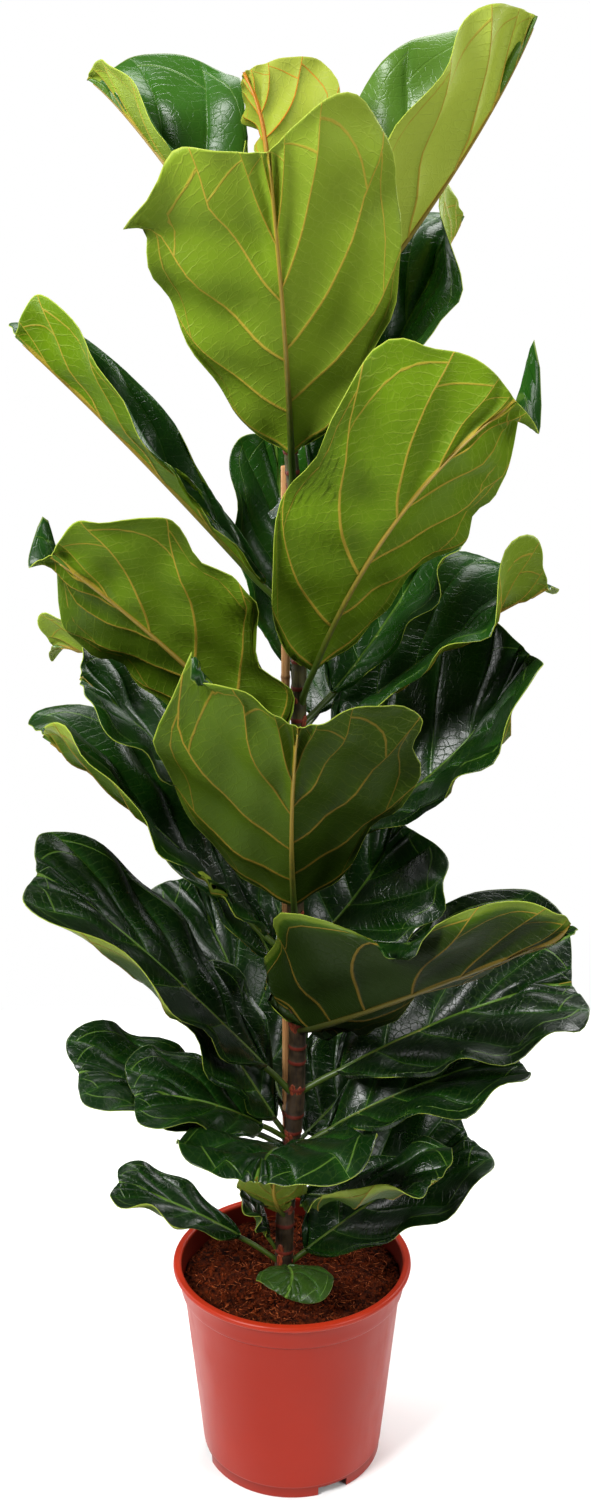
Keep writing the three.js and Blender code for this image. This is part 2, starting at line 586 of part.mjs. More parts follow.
// The stalk starts inside the stem, follows the midrib under the blade and ends a little way in.
function stalkSolid(leaf, midrib) {
  const small = leaf.right < 45;
  const radius = small ? 1.8 : leaf.stalk > 20 ? 2.7 : 2;
  const start = midrib.at(0);
  const path = [start.point.clone().addScaledVector(start.along, -6).addScaledVector(start.up, -1)];
  const reach = leaf.stalk + 14;
  for (let i = 0; i < 6; i++) {
    const distance = (reach * i) / 5;
    const { point, up } = midrib.at(distance);
    path.push(point.clone().addScaledVector(up, distance > leaf.stalk - 1 ? -1.8 : -1));
  }
  return tube(path, [1.15, 1.1, 1, 1, 1, 1, 0.7].map((share) => share * radius), 6);
}

// One leaf, cut clear of what it grows beside
function makeLeaf(entry, clear) {
  const leaf = { ...USUAL_LEAF, ...entry };
  const midrib = midribOf(leaf);
  const count = leaf.right < 45 ? 5 : BLADE_ROWS;
  const solid = bladeSolid(leaf, midrib, count).add(stalkSolid(leaf, midrib)).subtract(clear);
  const bodies = solid.decompose().sort((a, b) => b.volume() - a.volume());
  return meshOf(bodies[0], leaf.name, leaf.young ? YOUNG_GREEN : GREEN);
}

const group = new THREE.Group();
const clearOfStem = stemSolid(GAP).add(caneSolid(GAP));
group.add(makePot());
group.add(makeSoil(clearOfStem));
group.add(meshOf(stemSolid(0), "trunk", STEM_BROWN));
group.add(meshOf(caneSolid(0), "cane", TAN));
group.add(makeClip());
for (const entry of LEAVES) group.add(makeLeaf(entry, clearOfStem));

export default group;
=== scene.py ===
# %% [markdown]
# A potted fiddle leaf fig, about 1.2 m tall, in a tapered plastic nursery pot.
# The solid model already holds every piece at its real place. Here each piece gets the fine
# surface that a person sees from a step away: veins, quilted blades, bark, crumbs of soil.

# %% Load the solid model
import math

import bmesh
import bpy
import numpy as np
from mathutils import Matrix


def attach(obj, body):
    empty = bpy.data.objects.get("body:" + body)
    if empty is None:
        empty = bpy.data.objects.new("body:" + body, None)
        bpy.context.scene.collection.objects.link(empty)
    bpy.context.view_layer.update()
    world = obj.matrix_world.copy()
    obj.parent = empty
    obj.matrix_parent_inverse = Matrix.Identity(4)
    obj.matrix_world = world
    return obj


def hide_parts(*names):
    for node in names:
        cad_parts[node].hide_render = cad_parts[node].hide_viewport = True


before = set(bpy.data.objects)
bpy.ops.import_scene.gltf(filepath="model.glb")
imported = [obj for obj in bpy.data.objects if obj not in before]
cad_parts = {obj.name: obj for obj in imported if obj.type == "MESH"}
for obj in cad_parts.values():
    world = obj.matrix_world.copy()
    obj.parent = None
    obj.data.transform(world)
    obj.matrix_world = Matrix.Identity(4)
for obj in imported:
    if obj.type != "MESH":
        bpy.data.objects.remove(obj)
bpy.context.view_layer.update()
print("the solid model has", len(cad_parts), "nodes")

# %% [markdown]
# The camera comes first, because everything is judged through it. It stands 1.35 m in front
# of the pot at a little over 1 m, and looks down by 17 degrees, as one looks at a plant this tall.

# %% Set up the camera
CAMERA_PLACE = (0.003, -1.35, 1.07)
CAMERA_TILT = math.radians(90 - 16.95)
CAMERA_LENS = 42
CAMERA_NEAREST = 0.05


def in_scene(name, data):
    """Make an object of a mesh, a light or a camera, and put it in the scene."""
    thing = bpy.data.objects.new(name, data)
    bpy.context.scene.collection.objects.link(thing)
    return thing


camera_data = bpy.data.cameras.new("camera")
camera_data.lens = CAMERA_LENS
camera_data.clip_start = CAMERA_NEAREST
camera = in_scene("camera", camera_data)
camera.location = CAMERA_PLACE
camera.rotation_euler = (CAMERA_TILT, 0, 0)
bpy.context.scene.camera = camera
print("camera at", CAMERA_PLACE)

# %% [markdown]
# Leaves shine, so the lights are large and soft: a gloss shows the shape of what it mirrors.
# Two panels stand in front, a strong one on the left and a weaker one on the right, and light
# the sides that face the room. One above and behind lays the pale sheen on the upper sides,
# and two more behind, one on each side, draw the margins out of the shade. The rest of the room
# is dim, so that the shade between the leaves stays deep, but the camera itself sees plain
# white behind the plant. Plain tone mapping keeps the greens saturated.

# %% Set up the light
LIGHTS = {
    "panel_left": dict(place=(-1.8, -1.7, 2.6), size=1.2, power=132),
    "panel_right": dict(place=(2.1, -1.4, 1.8), size=1.2, power=38),
    "panel_above": dict(place=(0.2, 1.1, 2.9), size=1.5, power=44),
    "panel_rim_left": dict(place=(-1.7, 0.7, 0.9), size=1.0, power=16),
    "panel_rim_right": dict(place=(1.5, 1.3, 1.6), size=1.0, power=26),
}
PLANT_MIDDLE = (0, 0, 0.6)
ROOM_LIGHT = 0.07
SEEN_WHITE = 1.0
WHITE = (1, 1, 1, 1)


def add_panel(name, place, size, power):
    """One square light that looks at the middle of the plant."""
    light = bpy.data.lights.new(name, "AREA")
    light.size = size
    light.energy = power
    panel = in_scene(name, light)
    panel.location = place
    towards = np.array(PLANT_MIDDLE) - np.array(place)
    level = math.hypot(towards[0], towards[1])
    panel.rotation_euler = (math.atan2(level, -towards[2]), 0, math.atan2(-towards[0], towards[1]))


def add_node(tree, kind, inputs, **settings):
    """Add a node to a tree. inputs maps a socket's name or number to a value or another output."""
    made = tree.nodes.new(kind)
    for key, value in settings.items():
        setattr(made, key, value)
    for socket, value in inputs.items():
        if isinstance(value, bpy.types.NodeSocket):
            tree.links.new(value, made.inputs[socket])
        else:
            made.inputs[socket].default_value = value
    return made


for panel_name, panel_settings in LIGHTS.items():
    add_panel(panel_name, **panel_settings)

world = bpy.data.worlds.new("studio")
world.use_nodes = True
sky = world.node_tree
room = sky.nodes["Background"]
room.inputs["Color"].default_value = WHITE
room.inputs["Strength"].default_value = ROOM_LIGHT
seen = add_node(sky, "ShaderNodeBackground", {"Color": WHITE, "Strength": SEEN_WHITE})
ray = add_node(sky, "ShaderNodeLightPath", {}).outputs["Is Camera Ray"]
either = add_node(sky, "ShaderNodeMixShader", {0: ray, 1: room.outputs[0], 2: seen.outputs[0]})
sky.links.new(either.outputs[0], sky.nodes["World Output"].inputs["Surface"])
bpy.context.scene.world = world
bpy.context.scene.view_settings.view_transform = "Standard"
print("lights:", ", ".join(LIGHTS))

# %% [markdown]
# Materials are trees of small nodes. They could be drawn by hand in the shader editor. Written
# out they are easier to read, if each step adds one node, plugs in what it is given, and hands
# back the output, so that a tree reads like a sum.

# %% Define helpers for materials
# Noise seldom leaves these values, so a ramp between them uses the whole of it
NOISE_RANGE = (0.3, 0.7)


class Paint:
    """One material and the nodes that are added to it."""

    def __init__(self, name, roughness, specular=0.5):
        self.material = bpy.data.materials.new(name)
        self.material.use_nodes = True
        self.tree = self.material.node_tree
        self.shader = self.tree.nodes["Principled BSDF"]
        self.shader.inputs["Roughness"].default_value = roughness
        self.shader.inputs["Specular IOR Level"].default_value = specular

    def node(self, kind, inputs, output=0, **settings):
        return add_node(self.tree, kind, inputs, **settings).outputs[output]

    def maths(self, operation, first, second=0.0, third=0.0):
        return self.node("ShaderNodeMath", {0: first, 1: second, 2: third}, operation=operation)

    def stacked(self, relief, layers, weights):
        """A relief with more layers on it, each with its own weight."""
        for key, weight in weights.items():
            relief = self.maths("MULTIPLY_ADD", layers[key], weight, relief)
        return relief

    def ramp(self, value, low, high, to_low=0.0, to_high=1.0):
        """A smooth step: value going from low to high becomes to_low going to to_high."""
        inputs = {0: value, 1: low, 2: high, 3: to_low, 4: to_high}
        return self.node("ShaderNodeMapRange", inputs, interpolation_type="SMOOTHSTEP")

    def mix(self, share, first, second):
        """Mix two colours by share, which counts as 0 below 0 and as 1 above 1."""
        return self.node("ShaderNodeMix", {0: share, 6: first, 7: second}, output=2, data_type="RGBA")

    def over(self, color, top, mask, strength=1.0):
        """Lay a second colour over the first where a mask is, by a strength."""
        return self.mix(self.maths("MULTIPLY", mask, strength), color, top)

    def place(self):
        """The point of the piece itself, in metres. Pieces sit at the origin, so Z is the height."""
        return self.node("ShaderNodeTexCoord", {}, output="Object")

    def flat(self, name):
        return self.node("ShaderNodeUVMap", {}, uv_map=name)

    def scaled(self, vector, scale):
        return self.node("ShaderNodeMapping", {0: vector, "Scale": scale})

    def axes(self, vector):
        return add_node(self.tree, "ShaderNodeSeparateXYZ", {0: vector}).outputs

    def noise(self, vector, scale, detail=3.0, rough=0.5):
        inputs = {"Vector": vector, "Scale": scale, "Detail": detail, "Roughness": rough}
        return self.node("ShaderNodeTexNoise", inputs)

    def cells(self, vector, scale, feature="DISTANCE_TO_EDGE"):
        inputs = {"Vector": vector, "Scale": scale}
        return self.node("ShaderNodeTexVoronoi", inputs, output="Distance", feature=feature)

    def bump(self, height, strength, distance):
        inputs = {"Height": height, "Strength": strength, "Distance": distance}
        return self.node("ShaderNodeBump", inputs)

    def finish(self, color, roughness=None, normal=None):
        """Plug the trees into the shader, and hand back the material."""
        sockets = {"Base Color": color, "Roughness": roughness, "Normal": normal}
        for name, output in sockets.items():
            if output is not None:
                self.tree.links.new(output, self.shader.inputs[name])
        return self.material


def rgb(red, green, blue):
    """A colour from 0 to 255, as seen on a screen, in the linear values that Blender mixes."""
    return (*(((value / 255 + 0.055) / 1.055) ** 2.4 for value in (red, green, blue)), 1.0)


print("helpers for materials are ready")

# %% [markdown]
# The floor is one large plain sheet, only there to catch the shadow. It is not attached to
# the plant's body, so it doesn't count as a part of the plant.

# %% Lay the floor
FLOOR_HALF_SIZE = 0.9
FLOOR_ROUGHNESS = 0.8


def plain_mesh(name, points, faces):
    """A mesh of points in metres and lists of their numbers."""
    made = bpy.data.meshes.new(name)
    made.from_pydata(points, [], faces)
    return made


corners = [(-1, -1, 0), (1, -1, 0), (1, 1, 0), (-1, 1, 0)]
floor_points = [[FLOOR_HALF_SIZE * value for value in corner] for corner in corners]
floor_mesh = plain_mesh("floor", floor_points, [(0, 1, 2, 3)])
floor = in_scene("floor", floor_mesh)
floor_paint = Paint("pale_floor", FLOOR_ROUGHNESS)
cloud = floor_paint.noise(floor_paint.place(), 3.0)
floor_color = floor_paint.mix(cloud, rgb(250, 250, 249), rgb(253, 253, 252))
floor_mesh.materials.append(floor_paint.finish(floor_color))
print("floor laid,", 2 * FLOOR_HALF_SIZE, "m wide")

# %% [markdown]
# A leaf of this plant has two very different sides. The upper one is leathery, dark and glossy,
# with thin pale veins sunk into it. The lower one is lighter and dull, and its veins stand
# proud in gold. Both follow the same skeleton. It could be painted as an image, but then it
# would blur from close by. Instead each blade carries three flat maps. "veins" holds the place
# between midrib and margin and the count of side veins passed, so that a vein is a whole
# number. "flat" holds the true place on the pressed leaf in decimetres. The third holds painted
# light and shade: how much lighter a side is drawn where the leaf lies in light, and how much
# darker where it lies in shade, x for its lower side and y for its upper one.

# %% Define the vein pattern
MIDRIB_HALF_WIDTH = 0.011
MIDRIB_FADE = 1.6
SIDE_VEIN_HALF_WIDTH = 0.024
SIDE_VEIN_TAPER = 0.4
SIDE_VEIN_FADE = (0.7, 1.5)
HALO_WIDTH = 0.2
LOOP_PLACE = 0.81
LOOP_SLANT = 0.13
LOOP_FADE = (0.003, 0.009)
LOOP_STRENGTH = 0.8
RUNGS_PER_DECIMETRE = 14.0
RUNG_LEAN = (0.66, 0.75)
RUNG_STEP = 0.37
RUNG_WOBBLE = 0.9
RUNG_FADE = (0.01, 0.075)
RUNG_REACH = (0.1, 0.5)
RUNG_REACH_WOBBLE = 0.6
RUNG_FAR_STRENGTH = 0.25
NET_CELLS_PER_DECIMETRE = 16.0
NET_LINE = 0.07
MARGIN_START = 0.9945
MARGIN_FADE = 0.004
WOBBLES_PER_DECIMETRE = 9.0


def vein_masks(paint, width):
    """Masks from 0 to 1 for all that is drawn on a blade, and its flat place."""
    across, along, _ = paint.axes(paint.flat("veins"))
    flat = paint.flat("flat")
    flat_x, flat_y, _ = paint.axes(flat)
    aside = paint.maths("ABSOLUTE", flat_x)
    wobble = paint.maths("SUBTRACT", paint.noise(flat, WOBBLES_PER_DECIMETRE, 2.0), 0.5)

    from_vein = paint.maths("PINGPONG", along, 0.5)
    widest = SIDE_VEIN_HALF_WIDTH * width
    taper = paint.ramp(across, 0.0, 1.0, widest, widest * SIDE_VEIN_TAPER)
    side_veins = paint.ramp(paint.maths("DIVIDE", from_vein, taper), *SIDE_VEIN_FADE, 1.0, 0.0)

    loop = paint.maths("MULTIPLY_ADD", paint.maths("FRACT", along), -LOOP_SLANT, across)
    from_loop = paint.maths("ABSOLUTE", paint.maths("SUBTRACT", loop, LOOP_PLACE))
    loops = paint.ramp(from_loop, *LOOP_FADE, LOOP_STRENGTH, 0.0)

    out_along_vein = paint.maths("MULTIPLY", flat_y, RUNG_LEAN[1])
    out_along_vein = paint.maths("MULTIPLY_ADD", aside, RUNG_LEAN[0], out_along_vein)
    shift = paint.maths("MULTIPLY", wobble, RUNG_WOBBLE)
    shift = paint.maths("MULTIPLY_ADD", paint.maths("FLOOR", along), RUNG_STEP, shift)
    ladder = paint.maths("MULTIPLY_ADD", out_along_vein, RUNGS_PER_DECIMETRE, shift)
    rungs = paint.ramp(paint.maths("PINGPONG", ladder, 0.5), *RUNG_FADE, 1.0, 0.0)
    from_rung_foot = paint.maths("MULTIPLY_ADD", wobble, RUNG_REACH_WOBBLE, from_vein)
    near_vein = paint.ramp(from_rung_foot, *RUNG_REACH, 1.0, RUNG_FAR_STRENGTH)

    return dict(
        flat=flat,
        side=paint.maths("MAXIMUM", side_veins, loops),
        halo=paint.ramp(from_vein, 0.0, HALO_WIDTH, 1.0, 0.0),
        rungs=paint.maths("MULTIPLY", rungs, near_vein),
        net=paint.ramp(paint.cells(flat, NET_CELLS_PER_DECIMETRE), 0.0, NET_LINE, 1.0, 0.0),
        margin=paint.ramp(across, MARGIN_START, MARGIN_START + MARGIN_FADE),
        middle=paint.ramp(aside, MIDRIB_HALF_WIDTH, MIDRIB_HALF_WIDTH * MIDRIB_FADE, 1.0, 0.0),
    )


def lit_and_shaded(paint, color, tone_and_shading, lighter, darker):
    """A colour with painted light where the value is above 0, and painted shade where it is below."""
    return paint.over(paint.over(color, lighter, tone_and_shading), darker, tone_and_shading, -1.0)


print("vein pattern defined:", RUNGS_PER_DECIMETRE, "cross veins per decimetre")

# %% [markdown]
# The upper side: nearly black-green where it faces the room, with a broad pale gloss. The gloss
# comes from a fairly low roughness that varies a little, and the relief of the fine net of
# veins breaks it up, as on the real leaf. High on the plant the leaves are younger and greener,
# so the colours follow the height above the floor.

# %% Make the upper side's material
LOW_LEAVES = 0.48
HIGH_LEAVES = 1.02
TOP_LEAVES = 1.3
UPPER_HIGH = HIGH_LEAVES + 0.15
UPPER_SPECULAR = 0.31
UPPER_VEIN_WIDTH = 0.4
UPPER_VEIN_STRENGTHS = dict(net=0.05, rungs=0.09, side=0.62, middle=0.8)
UPPER_PAINTED_SHADE = rgb(2, 10, 2)
UPPER_PATCHES_PER_DECIMETRE = 1.6
PATCH_EDGES = (0.35, 0.7)
PATCH_WEAKEST = 0.6
HALO_STRENGTH = 0.2
UPPER_RIM_LOW = 0.6
UPPER_PORES_PER_DECIMETRE = 70.0
UPPER_RELIEF_WEIGHTS = dict(rungs=-0.5, net=-0.3, pores=0.18)
UPPER_RELIEF = 0.0006
GLOSS_PATCHES_PER_DECIMETRE = 2.4
GLOSS_RANGE = (0.05, 0.07)


def make_upper_paint(name, low, high, veins, rim, roughness):
    """Leather with thin sunk veins. low and high are its greens at the foot and the top."""
    paint = Paint(name, roughness, UPPER_SPECULAR)
    mask = vein_masks(paint, UPPER_VEIN_WIDTH)
    _, _, height = paint.axes(paint.place())
    patches = paint.noise(mask["flat"], UPPER_PATCHES_PER_DECIMETRE)
    patches = paint.ramp(patches, *PATCH_EDGES, PATCH_WEAKEST, 1.0)
    color = paint.over(low, high, paint.ramp(height, LOW_LEAVES, UPPER_HIGH), patches)
    # Painted light and shade: this side is drawn lighter where the leaf lies in light and darker where it
    # lies in shade
    _, tone_and_shading, _ = paint.axes(paint.flat("light_and_shade"))
    color = lit_and_shaded(paint, color, tone_and_shading, veins, UPPER_PAINTED_SHADE)
    color = paint.over(color, high, mask["halo"], HALO_STRENGTH)
    for key, strength in UPPER_VEIN_STRENGTHS.items():
        color = paint.over(color, veins, mask[key], strength)
    rim_strength = paint.ramp(height, LOW_LEAVES, HIGH_LEAVES, UPPER_RIM_LOW, 1.0)
    color = paint.over(color, rim, mask["margin"], rim_strength)
    relief = paint.maths("MULTIPLY", paint.maths("ADD", mask["side"], mask["middle"]), -1.0)
    mask["pores"] = paint.noise(mask["flat"], UPPER_PORES_PER_DECIMETRE, 2.0)
    relief = paint.stacked(relief, mask, UPPER_RELIEF_WEIGHTS)
    glossy, dull = roughness - GLOSS_RANGE[0], roughness + GLOSS_RANGE[1]
    shine = paint.noise(mask["flat"], GLOSS_PATCHES_PER_DECIMETRE, 2.0)
    shine = paint.ramp(shine, *NOISE_RANGE, glossy, dull)
    return paint.finish(color, shine, paint.bump(relief, 0.5, UPPER_RELIEF))


UPPER = make_upper_paint(
    "leaf_upper", low=rgb(9, 36, 5), high=rgb(42, 98, 20),
    veins=rgb(98, 134, 48), rim=rgb(118, 138, 70), roughness=0.28)
UPPER_YOUNG = make_upper_paint(
    "young_leaf_upper", low=rgb(110, 138, 18), high=rgb(150, 170, 32),
    veins=rgb(188, 184, 70), rim=rgb(180, 172, 70), roughness=0.42)
print("upper side materials made:", UPPER.name, "and", UPPER_YOUNG.name)

# %% [markdown]
# The lower side is lighter towards the top of the plant, where light comes through the leaves,
# and olive further down. Object coordinates give that for free: every piece sits at the
# origin, so the height above the floor is simply Z. Its veins are broad and raised.

# %% Make the lower side's material
LOWER_ROUGHNESS = 0.5
LOWER_SPECULAR = 0.14
LOWER_PAINTED_SHADE = rgb(14, 22, 2)
LOWER_VEINS_PAINTED_SHADE = rgb(60, 50, 14)
LOWER_VEINS_SHADING = 0.9
LOWER_SHADE_PATCHES_PER_DECIMETRE = 1.3
LOWER_SHADE_PATCH_STRENGTH = 0.42
FINE_PALENESS = 0.35
FINE_STRENGTHS = dict(net=0.3, rungs=0.9)
LOWER_RIM_LOW = 0.5
LOWER_PORES_PER_DECIMETRE = 60.0
LOWER_RELIEF_WEIGHTS = dict(rungs=0.5, net=0.3, pores=0.25)
LOWER_RELIEF = 0.0007


def make_lower_paint(name, low, high, veins_low, veins_high, pale):
    """Dull skin with raised golden veins. low and high are its greens at the foot and the top."""
    paint = Paint(name, LOWER_ROUGHNESS, LOWER_SPECULAR)
    mask = vein_masks(paint, 1.0)
    _, _, height = paint.axes(paint.place())
    share = paint.ramp(height, LOW_LEAVES, HIGH_LEAVES)
    color = paint.mix(share, low, high)
    color = paint.mix(paint.ramp(height, HIGH_LEAVES, TOP_LEAVES), color, pale)
    # Painted shade: slow patches of the darker green stand for the shade across a curved blade
    patches = paint.ramp(paint.noise(mask["flat"], LOWER_SHADE_PATCHES_PER_DECIMETRE), *PATCH_EDGES)
    color = paint.over(color, low, patches, LOWER_SHADE_PATCH_STRENGTH)
    # Painted light and shade: this side is drawn paler where the leaf lies in light and darker where it
    # lies in shade, and its veins take the painted shade too
    tone_and_shading, _, _ = paint.axes(paint.flat("light_and_shade"))
    color = lit_and_shaded(paint, color, tone_and_shading, pale, LOWER_PAINTED_SHADE)
    veins = paint.mix(share, veins_low, veins_high)
    veins = paint.over(veins, LOWER_VEINS_PAINTED_SHADE, tone_and_shading, -LOWER_VEINS_SHADING)
    fine = paint.mix(FINE_PALENESS, color, paint.mix(share, color, pale))
    for key, strength in FINE_STRENGTHS.items():
        color = paint.over(color, fine, mask[key], strength)
    color = paint.mix(mask["side"], color, veins)
    color = paint.mix(mask["middle"], color, veins)
    rim_strength = paint.ramp(height, LOW_LEAVES, HIGH_LEAVES, LOWER_RIM_LOW, 1.0)
    color = paint.over(color, pale, mask["margin"], rim_strength)
    mask["pores"] = paint.noise(mask["flat"], LOWER_PORES_PER_DECIMETRE, 2.0)
    relief = paint.stacked(mask["side"], mask, LOWER_RELIEF_WEIGHTS)
    return paint.finish(color, None, paint.bump(relief, 0.6, LOWER_RELIEF))


LOWER = make_lower_paint(
    "leaf_lower", low=rgb(44, 70, 5), high=rgb(108, 143, 14),
    veins_low=rgb(132, 108, 32), veins_high=rgb(184, 162, 56), pale=rgb(178, 196, 72))
LOWER_YOUNG = make_lower_paint(
    "young_leaf_lower", low=rgb(124, 144, 16), high=rgb(142, 162, 22),
    veins_low=rgb(196, 132, 40), veins_high=rgb(206, 132, 40), pale=rgb(184, 190, 88))
print("lower side materials made:", LOWER.name, "and", LOWER_YOUNG.name)

# %% [markdown]
# Midrib and stalk are one fleshy rod. It is green at its foot and turns golden towards the
# tip, with fine lengthwise streaks. Its share of the way along is kept in the "veins" map, so
# that one material serves stalks of any length and bend. Where the leaf's lower side is given
# painted shade, the rod is drawn darker with painted shade too.

# %% Make the stalks' material
STALK_ROUGHNESS = 0.42
STALK_PAINTED_SHADE = rgb(44, 46, 12)
STREAK_SCALE = (400, 400, 60)
STALK_RELIEF = 0.0004
STALK_SHADING = 1.1
RIPE = (0.15, 0.75)
RIPE_RAGGEDNESS = 0.3


def make_stalk_paint(name, green, gold):
    """A fleshy rod, green at its foot and golden at its tip."""
    paint = Paint(name, STALK_ROUGHNESS)
    along, _, _ = paint.axes(paint.flat("veins"))
    streak = paint.noise(paint.scaled(paint.place(), STREAK_SCALE), 1.0)
    ripe = paint.ramp(paint.maths("MULTIPLY_ADD", streak, RIPE_RAGGEDNESS, along), *RIPE)
    # Painted shade: the rod is drawn darker where its leaf's lower side lies in shade
    tone_and_shading, _, _ = paint.axes(paint.flat("light_and_shade"))
    color = paint.over(paint.mix(ripe, green, gold), STALK_PAINTED_SHADE, tone_and_shading, -STALK_SHADING)
    return paint.finish(color, None, paint.bump(streak, 0.25, STALK_RELIEF))


STALK = make_stalk_paint("leaf_stalk", green=rgb(62, 84, 20), gold=rgb(158, 132, 50))
STALK_YOUNG = make_stalk_paint("young_leaf_stalk", green=rgb(178, 160, 50), gold=rgb(205, 130, 40))
print("stalk materials made:", STALK.name, "and", STALK_YOUNG.name)

# %% [markdown]
# The plant carries 36 leaves, and no two are alike. Each could be pulled into shape by hand with
# a curve and a lattice. Here every leaf is one row of a few sizes in millimetres, the same ones
# that the solid model is built from, so that one function can grow them all. A midrib starts on
# the stem at its height, passes through middle and ends at tip. left and right are the widest
# half widths, and face is the compass direction that the leaf grows in (0 to the right, 90 away
# from the front). fold is the angle at which each half rises, like a V, and roll, twist and
# tip_roll turn the blade about its midrib. edge curls the margins, wave swings them, notch and
# lobe shape both ends of the blade, and a tug pulls one margin out, along or up. A few more
# numbers are painted light and shade: a side is drawn lighter where it lies in light and darker
# where it lies in shade, and a margin that curls up into the light is drawn paler.
# What a row leaves out is filled in from USUAL_LEAF.

# %% List the leaves
MM = 0.001
RIGHT = 1
LEFT = -1

